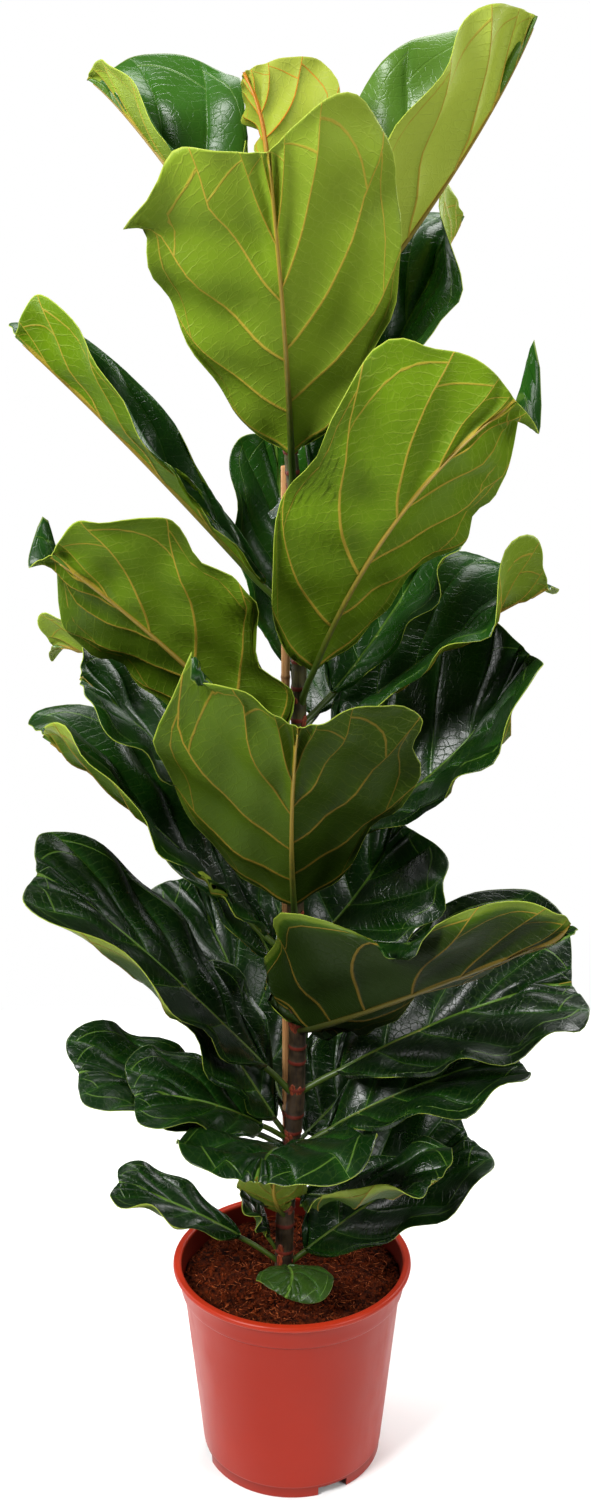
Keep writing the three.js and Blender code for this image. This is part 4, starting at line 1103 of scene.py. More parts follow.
def add_blade_half(shape, leaf, midrib, side, seed):
    """Both sheets of one half and the walls between them."""
    top, bottom, maps = blade_half(leaf, midrib, side, seed)
    rows, columns = top.shape[:2]
    right = side == RIGHT
    shape.add(top, grid_faces(rows, columns, flip=not right), UPPER_PART, maps)
    shape.add(bottom, grid_faces(rows, columns, flip=right), LOWER_PART, maps)
    margin, middle, foot = np.s_[:, -1], np.s_[:, 0], np.s_[0]
    for line, flip in ((margin, not right), (middle, right), (foot, right)):
        wall = np.stack([top[line], bottom[line]], 1)
        wall_maps = np.stack([maps[line], maps[line]], 1)
        shape.add(wall, grid_faces(len(wall), 2, flip=flip), LOWER_PART, wall_maps)


def add_stalk(shape, leaf, midrib):
    """The rod of stalk and midrib, from inside the stem to the blade's end."""
    thick = MIDRIB_BASE_RADIUS * min(1.0, SMALL_LEAF_SHARE + midrib["blade"] / LENGTH_TO_FULL)
    reach = leaf["stalk"] + midrib["blade"] * MIDRIB_END
    places = np.r_[-STALK_IN_STEM, np.linspace(0, reach, MIDRIB_RINGS)]
    points, along, _, up = midrib_at(midrib, np.maximum(places, 0))
    points = points + np.minimum(places, 0)[:, None] * along
    share = np.clip((places - leaf["stalk"]) / midrib["blade"], 0, 1)
    radii = MIDRIB_TIP_RADIUS + (thick - MIDRIB_TIP_RADIUS) * (1 - share) ** MIDRIB_TAPER
    radii[:len(STALK_FOOT)] *= STALK_FOOT
    sunk = np.clip((places - leaf["stalk"] + SINK_START) / SINK_LENGTH, 0, 1)
    drop = -MIDRIB_SINK * radii * sunk - MIDRIB_GAP
    add_rod(shape, points + drop[:, None] * up, radii, STALK_PART, share, tone_and_shading=leaf["lower_tone"])


def build_leaf(leaf, seed):
    """One whole leaf: both halves of the blade, and the rod of stalk and midrib."""
    midrib = midrib_of(leaf)
    shape = Shape()
    for side in (RIGHT, LEFT):
        add_blade_half(shape, leaf, midrib, side, seed)
    add_stalk(shape, leaf, midrib)
    return shape


leaf_triangles = 0
for number, entry in enumerate(LEAVES, 1):
    leaf = {**USUAL_LEAF, **entry}
    paints = (UPPER_YOUNG, LOWER_YOUNG, STALK_YOUNG) if leaf["young"] else (UPPER, LOWER, STALK)
    leaf_mesh = build_leaf(leaf, number).mesh(leaf["name"] + "_fine", paints)
    add_piece(leaf["name"] + "_fine", leaf_mesh, "young_leaf" if leaf["young"] else "leaf", leaf["name"])
    leaf_mesh.calc_loop_triangles()
    leaf_triangles += len(leaf_mesh.loop_triangles)
print(len(LEAVES), "leaves grown with", leaf_triangles, "triangles")

# %% [markdown]
# The pot is moulded in one red-brown plastic, a little uneven in colour and gloss, and scuffed
# on its rim and foot. Its inner wall lies in deep shade, and that shade is painted in as a dark
# red; the top of the lip is drawn lighter with painted light, where it catches the light. A
# colour for each face would show as steps, so the material works out for itself how far a
# point is from the axis, and compares that with the wall's radius at the same height.

# %% Make the pot's plastic
POT_FOOT_RADIUS = 79
WALL_FOOT = 12
WALL_END = 163
WALL_LEDGE = 1.5
WALL_SPREAD = 15
PLASTIC_ROUGHNESS = 0.36
PLASTIC_SPECULAR = 0.22
PLASTIC_GRAIN = 0.0003
# Heights on the pot in metres, between which one look blends into the next
FOOT_SCUFFS = (0.016, 0.004)
RIM_SCUFFS = (0.160, 0.186)
BAND_BLEND = (0.163, 0.166)
LIT_LIP_BLEND = (0.1835, 0.1855)
SHADED_INSIDE_END = (0.186, 0.189)
BAND_STEP = 0.0028
WALL_ALLOWANCE = 0.3
SHADED_INSIDE_BLEND = (0.0002, 0.0012)
INSIDE_SHADE = 0.85
SCRATCH_STRETCH = (1.0, 1.0, 0.12)
SCRATCHES_PER_METRE = 900.0
SCRATCH_WIDTH = (0.04, 0.12)
SCUFFED_SPOTS = (0.62, 0.7)
DUST_STRETCH = (1, 1, 0.3)
DUST_RANGE = (0.35, 0.7)
PLASTIC_SHINE = (0.30, 0.46)
PLASTIC_GRAINS_PER_METRE = 900.0


def pot_radius(height):
    """The outer radius of the wall between the foot and the band under the lip."""
    rise = (height - WALL_FOOT) / (WALL_END - WALL_FOOT)
    return POT_FOOT_RADIUS + WALL_LEDGE + rise * WALL_SPREAD


def pot_paint():
    """Red-brown plastic with scuffed edges, painted shade inside and painted light on the lip."""
    paint = Paint("pot_plastic", PLASTIC_ROUGHNESS, PLASTIC_SPECULAR)
    place = paint.place()
    across, back, height = paint.axes(place)
    cloud = paint.ramp(paint.noise(place, 9.0, 4.0), *NOISE_RANGE)
    color = paint.over(rgb(150, 32, 9), rgb(164, 38, 14), cloud, 0.5)
    # Painted light: the top of the rolled lip is drawn lighter and more orange, where it catches the light
    color = paint.over(color, rgb(190, 56, 28), paint.ramp(height, *LIT_LIP_BLEND), 0.4)

    # Painted shade: the inner wall, which lies in deep shade, is drawn a dark red
    reach = paint.maths("MULTIPLY_ADD", back, back, paint.maths("POWER", across, 2.0))
    reach = paint.maths("SQRT", reach)
    taper = WALL_SPREAD / (WALL_END - WALL_FOOT)
    wall = paint.maths("MULTIPLY_ADD", height, taper, (POT_FOOT_RADIUS + WALL_ALLOWANCE) * MM)
    wall = paint.maths("ADD", wall, paint.ramp(height, *BAND_BLEND, 0.0, BAND_STEP))
    inside = paint.ramp(paint.maths("SUBTRACT", wall, reach), *SHADED_INSIDE_BLEND)
    inside = paint.maths("MULTIPLY", inside, paint.ramp(height, *SHADED_INSIDE_END, 1.0, 0.0))
    color = paint.over(color, rgb(62, 16, 9), inside, INSIDE_SHADE)

    scratch = paint.cells(paint.scaled(place, SCRATCH_STRETCH), SCRATCHES_PER_METRE, feature="F1")
    rare = paint.ramp(paint.noise(place, 60.0, 2.0), *SCUFFED_SPOTS)
    scuffs = paint.maths("MULTIPLY", paint.ramp(scratch, *SCRATCH_WIDTH, 1.0, 0.0), rare)
    edge = paint.maths("ADD", paint.ramp(height, *RIM_SCUFFS), paint.ramp(height, *FOOT_SCUFFS))
    color = paint.over(color, rgb(235, 160, 135), paint.maths("MULTIPLY", scuffs, edge), 0.5)
    dust = paint.noise(paint.scaled(place, DUST_STRETCH), 35.0, 5.0, 0.6)
    shine = paint.ramp(dust, *DUST_RANGE, *PLASTIC_SHINE)
    grain = paint.noise(place, PLASTIC_GRAINS_PER_METRE, 2.0)
    return paint.finish(color, shine, paint.bump(grain, 0.08, PLASTIC_GRAIN))


POT_PLASTIC = pot_paint()
print("the wall's radius grows from", pot_radius(WALL_FOOT), "to", pot_radius(WALL_END), "mm")

# %% [markdown]
# The pot is a thin moulded tub. Its profile is turned round the axis, which is what Blender's
# Screw or Spin would do. Written out as a list it stays readable, and each fold of the wall,
# the rolled lip, the ledge under it, the foot line, is one point of the profile. Corners are
# rounded by replacing each with a short arc.

# %% Turn the pot
POT_HEIGHT = 190
POT_RIM_RADIUS = 105
POT_WALL = 2
POT_FLOOR_UNDERSIDE = 9
POT_FLOOR_TOP = 11.5
POT_HUB_RADIUS = 16
POT_SIDES = 180
POT_MERGE = 2e-5
LONGEST_CUT = 0.4
POT_PROFILE = [
    (0, 0), (POT_HUB_RADIUS - 1, 0), (POT_HUB_RADIUS, POT_FLOOR_UNDERSIDE),
    (POT_FOOT_RADIUS - POT_WALL, POT_FLOOR_UNDERSIDE), (POT_FOOT_RADIUS - POT_WALL, 0),
    (POT_FOOT_RADIUS, 0), (POT_FOOT_RADIUS + 0.7, 10.6), (pot_radius(WALL_FOOT), WALL_FOOT),
    (pot_radius(50), 50), (pot_radius(90), 90), (pot_radius(130), 130),
    (pot_radius(WALL_END), WALL_END),
    (98.3, 165.6), (99.2, 172), (101, 183.5), (POT_RIM_RADIUS - 1.6, 184.4), (POT_RIM_RADIUS, 186),
    (POT_RIM_RADIUS, 188.4), (POT_RIM_RADIUS - 1.5, POT_HEIGHT), (POT_RIM_RADIUS - 6, POT_HEIGHT),
    (POT_RIM_RADIUS - 7.2, 188.6), (96.5, 166), (pot_radius(90) - POT_WALL, 90),
    (pot_radius(POT_FLOOR_TOP) - POT_WALL, POT_FLOOR_TOP), (0, POT_FLOOR_TOP),
]


def rounded(profile, radius=1.1, steps=3):
    """Replace every corner of a profile by a short arc of about the given radius."""
    profile = np.array(profile, float)
    result = [profile[0]]
    for before, corner, after in zip(profile, profile[1:], profile[2:]):
        into, onwards = before - corner, after - corner
        longest = LONGEST_CUT * min(np.linalg.norm(into), np.linalg.norm(onwards))
        cut = min(radius, longest)
        first = corner + into / np.linalg.norm(into) * cut
        last = corner + onwards / np.linalg.norm(onwards) * cut
        result.extend(parabola(first, corner, last, t) for t in np.linspace(0, 1, steps + 1))
    result.append(profile[-1])
    return np.array(result)


def ring_points(radius, height, sides):
    """Points of rings about the Z axis, one ring for every radius and height."""
    angle = np.linspace(0, 2 * math.pi, sides, endpoint=False)
    radius, height = np.reshape(radius, (-1, 1)), np.reshape(height, (-1, 1))
    return np.stack([radius * np.cos(angle), radius * np.sin(angle), height + 0 * angle], -1)


profile = rounded(POT_PROFILE)
pot_shape = Shape()
pot_faces = ring_faces(len(profile), POT_SIDES)[:, [0, 3, 2, 1]]
pot_shape.add(ring_points(profile[:, 0], profile[:, 1], POT_SIDES), pot_faces)
pot = in_scene("pot_fine", pot_shape.mesh("pot_fine", [POT_PLASTIC], merge=POT_MERGE))
print("pot turned with", len(pot.data.polygons), "faces")

# %% [markdown]
# Four drain slots are cut through the foot. A Boolean modifier does this cleanly: one cutter
# has a box for every slot, then the evaluated mesh is kept and the cutter is removed.

# %% Cut the drain slots
SLOT_ANGLES = (15, 117, 195, 297)
SLOT_WIDTH = 28
SLOT_HEIGHT = 8.5
SLOT_REACH = 6
BELOW_FLOOR = 10
BOX_FACES = [(0, 1, 3, 2), (4, 6, 7, 5), (0, 4, 5, 1), (2, 3, 7, 6), (0, 2, 6, 4), (1, 5, 7, 3)]
HARD_EDGE = 40


def slot_box(slot_angle):
    """The corners of a box that stands across the foot of the pot."""
    cos, sin = math.cos(math.radians(slot_angle)), math.sin(math.radians(slot_angle))
    corners = []
    for reach in (POT_FOOT_RADIUS - SLOT_REACH, POT_FOOT_RADIUS + SLOT_REACH):
        for across in (-SLOT_WIDTH / 2, SLOT_WIDTH / 2):
            for height in (-BELOW_FLOOR, SLOT_HEIGHT):
                corners.append((reach * cos - across * sin, reach * sin + across * cos, height))
    return corners


def kept_result(thing):
    """Replace an object's mesh by what its modifiers make of it, and remove the modifiers."""
    depsgraph = bpy.context.evaluated_depsgraph_get()
    result = bpy.data.meshes.new_from_object(thing.evaluated_get(depsgraph), depsgraph=depsgraph)
    thing.modifiers.clear()
    thing.data = result


def shade_by_angle(mesh, degrees):
    """Smooth shading, with hard edges only where neighbouring faces meet at more than an angle."""
    shade_smooth(mesh)
    mesh.set_sharp_from_angle(angle=math.radians(degrees))


cutter_shape = Shape()
for slot_angle in SLOT_ANGLES:
    cutter_shape.add(slot_box(slot_angle), BOX_FACES)
cutter = in_scene("slot_cutter", cutter_shape.mesh("slot_cutter", [POT_PLASTIC]))
cutting = pot.modifiers.new("slots", "BOOLEAN")
cutting.object = cutter
cutting.operation = "DIFFERENCE"
cutting.solver = "EXACT"
kept_result(pot)
bpy.data.objects.remove(cutter)
shade_by_angle(pot.data, HARD_EDGE)
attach(pot, "root")
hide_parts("pot")
print("slots cut at", SLOT_ANGLES, "degrees")

# %% [markdown]
# Potting mix is a bed of crumbs and fibres. The bed itself is a lumpy disc that follows the
# inside of the pot. A Displace modifier could raise the lumps. Here a few swells of different
# lengths are summed up, which gives the same lumps on every run, and lets the bed sink a little
# where it meets the wall. Its loose grains come in the next steps.

# %% Make the bed of soil
SOIL_TOP = 172
SOIL_SWELL_HEIGHT = 2
SOIL_SIDES = 144
SOIL_RINGS = 44
SOIL_SKIRT = 14
SOIL_HOLE = 1.5
SOIL_PRESS = 0.6
LUMP_HEIGHT = 3.2
LUMP_SCALES = (2, 4, 7)
LUMP_SEED = 40
GRAIN_HEIGHT = 0.5
GRAIN_SEED = 5
WALL_DIP = 2.5
DIP_FROM = 88
DIP_WIDTH = 8


def soil_swell(x, y):
    """The two long swells that the solid model's soil has too."""
    return 0.5 * np.sin(0.11 * x + 1.3) * np.cos(0.13 * y) + 0.5 * np.sin(0.23 * y - 0.17 * x)


def soil_paint():
    """Dark damp peat with a few paler specks."""
    paint = Paint("soil", 0.95, specular=0.05)
    place = paint.place()
    lumps = paint.noise(place, 130.0, 6.0, 0.65)
    color = paint.mix(paint.ramp(lumps, 0.35, 0.65), rgb(22, 6, 2), rgb(74, 28, 9))
    specks = paint.ramp(paint.noise(place, 420.0, 2.0), 0.62, 0.75)
    color = paint.over(color, rgb(128, 74, 42), specks, 0.5)
    return paint.finish(color, None, paint.bump(lumps, 0.9, 0.002))


soil_edge = pot_radius(SOIL_TOP) - POT_WALL + SOIL_PRESS
radius = np.linspace(SOIL_HOLE, soil_edge, SOIL_RINGS)
bed_rings = ring_points(radius, 0 * radius, SOIL_SIDES)
x, y = bed_rings[..., 0], bed_rings[..., 1]
draw = np.random.default_rng(GRAIN_SEED)
lumpy = sum(slow_waves(x * scale, y * scale, LUMP_SEED + scale) / scale for scale in LUMP_SCALES)
grain = draw.uniform(-GRAIN_HEIGHT, GRAIN_HEIGHT, x.shape)
height = SOIL_TOP + SOIL_SWELL_HEIGHT * soil_swell(x, y) + LUMP_HEIGHT * lumpy + grain
height -= WALL_DIP * np.clip((radius[:, None] - DIP_FROM) / DIP_WIDTH, 0, 1)
bed_points = np.stack([x, y, height], -1).reshape(-1, 3)
bed_faces = ring_faces(SOIL_RINGS, SOIL_SIDES)
inner_ring, outer_ring = bed_points[:SOIL_SIDES], bed_points[-SOIL_SIDES:]
sunk_ring = outer_ring * (1, 1, 0) + (0, 0, SOIL_TOP - SOIL_SKIRT)
spokes = fan_faces(SOIL_SIDES)
bed = Shape()
bed.add(bed_points, bed_faces)
bed.add(np.vstack([outer_ring, sunk_ring]), ring_faces(2, SOIL_SIDES))
bed.add(np.vstack([inner_ring, [[0, 0, SOIL_TOP]]]), spokes)
bed.add(np.vstack([sunk_ring, [[0, 0, SOIL_TOP - SOIL_SKIRT]]]), spokes[:, [1, 0, 2]])
bed_mesh = bed.mesh("soil_fine", [soil_paint()])
add_piece("soil_fine", bed_mesh, "soil", "soil")
print("soil bed has", len(bed_mesh.polygons), "faces")

# %% [markdown]
# Grains, fibres and bracts are too many to place by hand, and each kind follows a rule, so
# Geometry Nodes make them. A tree of such nodes is itself a little program. This helper starts
# one with named inputs, so that the sizes can be read in the modifier, and adds nodes to it. At
# the end the instances are made real, since only real geometry is exported.


# %% Define helpers for Geometry Nodes
class Rule:
    """A Geometry Nodes tree with named inputs."""

    def __init__(self, name, numbers):
        self.tree = bpy.data.node_groups.new(name, "GeometryNodeTree")
        interface = self.tree.interface
        interface.new_socket("Geometry", in_out="INPUT", socket_type="NodeSocketGeometry")
        interface.new_socket("Geometry", in_out="OUTPUT", socket_type="NodeSocketGeometry")
        self.identifiers = {}
        self.numbers = numbers
        for key in numbers:
            socket = interface.new_socket(key, in_out="INPUT", socket_type="NodeSocketFloat")
            self.identifiers[key] = socket.identifier
        self.start = self.tree.nodes.new("NodeGroupInput")
        self.end = self.tree.nodes.new("NodeGroupOutput")

    def node(self, kind, inputs, output=0, **settings):
        """Add a node and hand back one of its outputs, by name or number."""
        return add_node(self.tree, kind, inputs, **settings).outputs[output]

    def input(self, key):
        return self.start.outputs[key]

    def random(self, low, high, seed):
        """A random number, or a random vector where low and high are vectors."""
        kind = "FLOAT_VECTOR" if isinstance(low, tuple) else "FLOAT"
        made = add_node(self.tree, "FunctionNodeRandomValue", {"Seed": seed}, data_type=kind)
        inputs = [socket for socket in made.inputs if socket.enabled]
        for socket, value in zip(inputs, (low, high)):
            if isinstance(value, bpy.types.NodeSocket):
                self.tree.links.new(value, socket)
            else:
                socket.default_value = value
        return next(socket for socket in made.outputs if socket.enabled)

    def strewn(self, seed):
        """Points strewn over the base mesh, as dense as the rule's input says."""
        inputs = {"Mesh": self.input("Geometry"), "Density": self.input("Density"), "Seed": seed}
        return self.node("GeometryNodeDistributePointsOnFaces", inputs, output="Points")

    def placed(self, points, thing, turn, size):
        """One instance of a thing on every point."""
        inputs = {"Points": points, "Instance": thing, "Rotation": turn, "Scale": size}
        return self.node("GeometryNodeInstanceOnPoints", inputs)

    def finish(self, geometry, material):
        """Make the instances real and paint them, as the last nodes of the tree."""
        real = self.node("GeometryNodeRealizeInstances", {"Geometry": geometry})
        painted = self.node("GeometryNodeSetMaterial", {"Geometry": real, "Material": material})
        self.tree.links.new(painted, self.end.inputs[0])

    def grow(self, name, base_mesh):
        """Run the rule on a mesh, and keep its result as a plain mesh."""
        thing = in_scene(name, base_mesh)
        modifier = thing.modifiers.new(name, "NODES")
        modifier.node_group = self.tree
        for key, value in self.numbers.items():
            modifier[self.identifiers[key]] = value
        kept_result(thing)
        return thing


print("helpers for Geometry Nodes are ready")

# %% [markdown]
# Crumbs are rough little lumps of peat, two to three millimetres across on average. A particle
# system could strew them. A rule of nodes is plainer to read: points are strewn over the bed,
# one lump of twenty faces stands on each, and every lump is turned, squashed and sized at
# random from a fixed seed.

# %% Strew the crumbs
FULL_TURN = 6.28
MOST_SQUASHED = (0.6, 0.6, 0.45)
LEAST_SQUASHED = (1.4, 1.2, 0.9)


def crumb_paint():
    paint = Paint("soil_crumb", 0.92, specular=0.05)
    place = paint.place()
    tone_and_shading = paint.ramp(paint.noise(place, 160.0), *NOISE_RANGE)
    color = paint.mix(tone_and_shading, rgb(28, 8, 3), rgb(98, 38, 13))
    return paint.finish(color, None, paint.bump(paint.noise(place, 1500.0, 2.0), 0.7, 0.0008))


crumb_rule = Rule("soil_crumbs", {"Density": 105000.0, "Smallest": 0.0006, "Largest": 0.0023})
lump = crumb_rule.node("GeometryNodeMeshIcoSphere", {"Radius": 1.0, "Subdivisions": 1}, output="Mesh")
size = crumb_rule.random(crumb_rule.input("Smallest"), crumb_rule.input("Largest"), seed=11)
squash = crumb_rule.random(MOST_SQUASHED, LEAST_SQUASHED, seed=12)
squashed = crumb_rule.node("ShaderNodeVectorMath", {0: squash, "Scale": size}, operation="SCALE")
turn = crumb_rule.random((0.0, 0.0, 0.0), (FULL_TURN, FULL_TURN, FULL_TURN), seed=13)
grains = crumb_rule.placed(crumb_rule.strewn(seed=3), lump, turn, squashed)
crumb_rule.finish(grains, crumb_paint())
top_mesh = plain_mesh("soil_top", (bed_points * MM).tolist(), bed_faces.tolist())
crumbs = crumb_rule.grow("soil_crumbs", top_mesh)
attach(crumbs, "root")
print("crumbs:", len(crumbs.data.polygons), "faces")

# %% [markdown]
# Fibres of coconut husk lie between the crumbs: short arcs, swept as thin wires. Hair strands
# would be quicker, but they have no faces to export. Here the instance is a curve. It is made
# real first and gets its thickness last, in one go. Fibres start only in the middle of the
# bed, so that none of them reaches through the wall of the pot.

# %% Strew the fibres
FIBRE_RINGS = 38
FIBRE_LIFT = 0.0011
FIBRE_TILT = 0.45
FIBRE_BEND = 1.0


def fibre_paint():
    paint = Paint("soil_fibre", 0.85, specular=0.1)
    tone_and_shading = paint.ramp(paint.noise(paint.place(), 300.0, 2.0), 0.4, 0.65)
    return paint.finish(paint.mix(tone_and_shading, rgb(92, 36, 16), rgb(176, 92, 48)))


fibre_rule = Rule("soil_fibres", {"Density": 26000.0, "Length": 0.011, "Thickness": 0.00028})
lifted = fibre_rule.node(
    "GeometryNodeSetPosition", {"Geometry": fibre_rule.strewn(seed=8), "Offset": (0, 0, FIBRE_LIFT)})
arc = fibre_rule.node(
    "GeometryNodeCurveArc",
    {"Resolution": 6, "Radius": fibre_rule.input("Length"), "Sweep Angle": FIBRE_BEND})
fibre_turn = fibre_rule.random(
    (-FIBRE_TILT, -FIBRE_TILT, 0.0), (FIBRE_TILT, FIBRE_TILT, FULL_TURN), seed=21)
fibre_size = fibre_rule.random(0.3, 1.0, seed=22)
laid = fibre_rule.placed(lifted, arc, fibre_turn, fibre_size)
real_arcs = fibre_rule.node("GeometryNodeRealizeInstances", {"Geometry": laid})
section = fibre_rule.node(
    "GeometryNodeCurvePrimitiveCircle", {"Resolution": 3, "Radius": fibre_rule.input("Thickness")})
wires = fibre_rule.node(
    "GeometryNodeCurveToMesh", {"Curve": real_arcs, "Profile Curve": section, "Fill Caps": True})
fibre_rule.finish(wires, fibre_paint())
middle_faces = bed_faces[:FIBRE_RINGS * SOIL_SIDES]
middle_mesh = plain_mesh("soil_middle", (bed_points * MM).tolist(), middle_faces.tolist())
fibres = fibre_rule.grow("soil_fibres", middle_mesh)
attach(fibres, "root")
print("fibres:", len(fibres.data.polygons), "faces")

# %% [markdown]
# The bark of a young stem is green-brown, browner low down, with fine lengthwise cracks. Every
# fallen leaf has left a red-brown scar. A texture painted by hand could hold the scars, but
# then they might miss the ridges of the mesh. So the stem's "veins" map carries how much scar
# there is, and the material reads it there.

# %% Make the bark's material
BARK_ROUGHNESS = 0.6
CRACK_SCALE = (700, 700, 60)
CRACK_EDGES = (0.52, 0.66)
CRACK_STRENGTH = 0.6
CRACK_DEPTH = 0.6
GREENING_HEIGHTS = (0.35, 0.9)
BARK_PATCH_EDGES = (0.35, 0.65)
SCAR_RAGGEDNESS = 0.4
SCAR_EDGES = (0.45, 0.8)
BARK_SHINE = (0.5, 0.72)
BARK_RELIEF = 0.0008


def bark_paint():
    """Green-brown bark with red-brown scars and fine lengthwise cracks."""
    paint = Paint("bark", BARK_ROUGHNESS)
    place = paint.place()
    _, _, height = paint.axes(place)
    scar, _, _ = paint.axes(paint.flat("veins"))
    cloud = paint.noise(place, 70.0, 4.0, 0.6)
    patches = paint.ramp(cloud, *BARK_PATCH_EDGES)
    low = paint.mix(patches, rgb(36, 24, 12), rgb(64, 46, 24))
    high = paint.mix(patches, rgb(44, 42, 14), rgb(80, 78, 28))
    color = paint.mix(paint.ramp(height, *GREENING_HEIGHTS), low, high)
    crack = paint.noise(paint.scaled(place, CRACK_SCALE), 1.0)
    color = paint.mix(paint.ramp(crack, *CRACK_EDGES, 0.0, CRACK_STRENGTH), color, rgb(22, 13, 7))
    ragged = paint.maths("ADD", scar, paint.maths("MULTIPLY", cloud, SCAR_RAGGEDNESS))
    color = paint.mix(paint.ramp(ragged, *SCAR_EDGES), color, rgb(104, 32, 16))
    relief = paint.maths("MULTIPLY_ADD", crack, -CRACK_DEPTH, cloud)
    shine = paint.ramp(cloud, *NOISE_RANGE, *BARK_SHINE)
    return paint.finish(color, shine, paint.bump(relief, 0.6, BARK_RELIEF))


BARK = bark_paint()
print("bark made")

# %% [markdown]
# The stem is one rod with many rings. Every two centimetres or so a fallen leaf has left a
# scar: a raised ring with a fine groove under it. Scars sit at uneven steps. A list of heights
# would do, but the steps are quicker drawn at random from a fixed seed. Between them the rod
# swells a little and is nowhere quite round.

# %% Grow the stem
HOLE_DEPTH = 32
STEM_RING_STEP = 1.6
STEM_SIDES = 28
SCAR_STEPS = (14, 27)
SCAR_HEIGHT = 0.7
SCAR_WIDTH = 1.7
GROOVE_BELOW = 2.6
GROOVE_DEPTH_AT_SCAR = 0.35
GROOVE_WIDTH = 1.1
STEM_SWELL = 0.28
MOST_SCARS = 60
FIRST_SCAR_ABOVE_SOIL = 9
LAST_SCAR_BELOW_TOP = 8
STEM_SEED = 12
SWELL_SEED = 77
SWELL_SCALES = (18, 0.9)
TWIST_RIDGES = 3
TWIST_LENGTH = 31
TWIST_SHARE = 0.5
STEM_TIP = np.array([(-0.5, 0, 4), (-1.2, 0, 9), (-2, 0, 15)])
STEM_TIP_RADII = (3.9, 2.9, 1.2)

draw = np.random.default_rng(STEM_SEED)
scars = SOIL_TOP + FIRST_SCAR_ABOVE_SOIL + np.cumsum(draw.uniform(*SCAR_STEPS, MOST_SCARS))
scars = scars[scars < STEM_TOP - LAST_SCAR_BELOW_TOP]
stem_heights = np.arange(SOIL_TOP - HOLE_DEPTH, STEM_TOP, STEM_RING_STEP)
stem_path = np.array([stem_centre(value) for value in stem_heights])
scar_near = hill(stem_heights[:, None], scars, SCAR_WIDTH).max(axis=1)
groove_near = hill(stem_heights[:, None] + GROOVE_BELOW, scars, GROOVE_WIDTH).max(axis=1)
stem_angle = np.linspace(0, 2 * math.pi, STEM_SIDES, endpoint=False)
around, upwards = np.meshgrid(stem_angle * SWELL_SCALES[0], stem_heights * SWELL_SCALES[1])
swell = slow_waves(around, upwards, SWELL_SEED)
twist = TWIST_RIDGES * stem_angle[None, :] + stem_heights[:, None] / TWIST_LENGTH
swell += TWIST_SHARE * np.sin(twist)
ridges = SCAR_HEIGHT * scar_near - GROOVE_DEPTH_AT_SCAR * groove_near
stem_radii = stem_radius(stem_heights)[:, None] + ridges[:, None] + STEM_SWELL * swell
tip_radii = np.array(STEM_TIP_RADII)[:, None] + 0 * stem_radii[:3]
stem_path = np.vstack([stem_path, stem_path[-1] + STEM_TIP])
stem_radii = np.vstack([stem_radii, tip_radii])
scar_share = np.r_[scar_near, 0 * tip_radii[:, 0]]
stem_shape = Shape()
add_rod(stem_shape, stem_path, stem_radii, 0, scar_share, STEM_SIDES)
add_piece("stem_fine", stem_shape.mesh("stem_fine", [BARK]), "bark", "trunk")
print("stem grown with", len(scars), "scars")

# %% [markdown]
# A bract is the dry, papery sheath of a bud. Two stay at each leaf's foot and cling to the
# stem. A single flat sheet would vanish when seen edge on, so one bract is modelled here as a
# small pointed shell with a wall of even thickness.

# %% Model one bract
BRACT_LENGTH = 17
BRACT_HALF_WIDTH = 4.2
BRACT_WALL = 0.45
BRACT_ROWS = 8
BRACT_COLUMNS = 7
BRACT_WRAP = 1.2
BRACT_HOLLOW = 1.6
BRACT_LEAN = 2.2
BRACT_STAND_OFF = 0.4
BRACT_POINT_POWER = 2.2
BRACT_BLUNTNESS = 0.004
BRACT_BASE_WIDTH = 0.75
BRACT_WIDENING = 0.4


def bract_mesh():
    """A pointed shell, hollow towards the stem. X points away from the stem and Z up."""
    share = np.linspace(0, 1, BRACT_ROWS)[:, None]
    turn = np.linspace(-1, 1, BRACT_COLUMNS)[None, :]
    pointed = np.sqrt(np.clip(1 - share ** BRACT_POINT_POWER, BRACT_BLUNTNESS, 1))
    narrowing = pointed * (BRACT_BASE_WIDTH + BRACT_WIDENING * share)
    sideways = BRACT_HALF_WIDTH * narrowing * np.sin(turn * BRACT_WRAP)
    hollow = BRACT_HOLLOW * (np.cos(turn * BRACT_WRAP) - 1)
    outwards = hollow + BRACT_LEAN * share ** 2 + BRACT_STAND_OFF
    upwards = BRACT_LENGTH * share + 0 * turn
    outer = np.stack([outwards + 0 * share, sideways, upwards], -1)
    inner = outer - (BRACT_WALL, 0, 0)
    shape = Shape()
    shape.add(outer, grid_faces(BRACT_ROWS, BRACT_COLUMNS, flip=True))
    shape.add(inner, grid_faces(BRACT_ROWS, BRACT_COLUMNS, flip=False))
    left, right, foot, tip = np.s_[:, 0], np.s_[:, -1], np.s_[0], np.s_[-1]
    for line, flip in ((left, False), (right, True), (foot, True), (tip, False)):
        edge = np.stack([outer[line], inner[line]], 1)
        shape.add(edge, grid_faces(len(edge), 2, flip=flip))
    return shape.mesh("bract", [BARK])


def bract_paint():
    paint = Paint("bract", 0.55)
    streak = paint.noise(paint.scaled(paint.place(), (900, 900, 90)), 1.0, 3.0)
    color = paint.mix(paint.ramp(streak, 0.35, 0.65), rgb(84, 30, 16), rgb(150, 66, 34))
    return paint.finish(color, None, paint.bump(streak, 0.5, 0.0005))


one_bract = bpy.data.objects.new("one_bract", bract_mesh())
print("one bract has", len(one_bract.data.polygons), "faces")

# %% [markdown]
# The bracts follow the leaves: two at each stalk's foot, one on either side. Copies could be
# placed by hand, but a rule keeps them on the stem if a leaf is moved. Each spot carries the
# direction that is outwards there as an attribute, and the nodes turn a bract towards it and
# give it a random size.

# %% Put the bracts on the stem
BRACT_TURNS_AND_DROPS = ((0.9, 3), (-1.1, 7))
BRACT_PRESS = 0.6
BRACTS_FROM = SOIL_TOP + 8
BRACTS_TO = STEM_TOP - 30

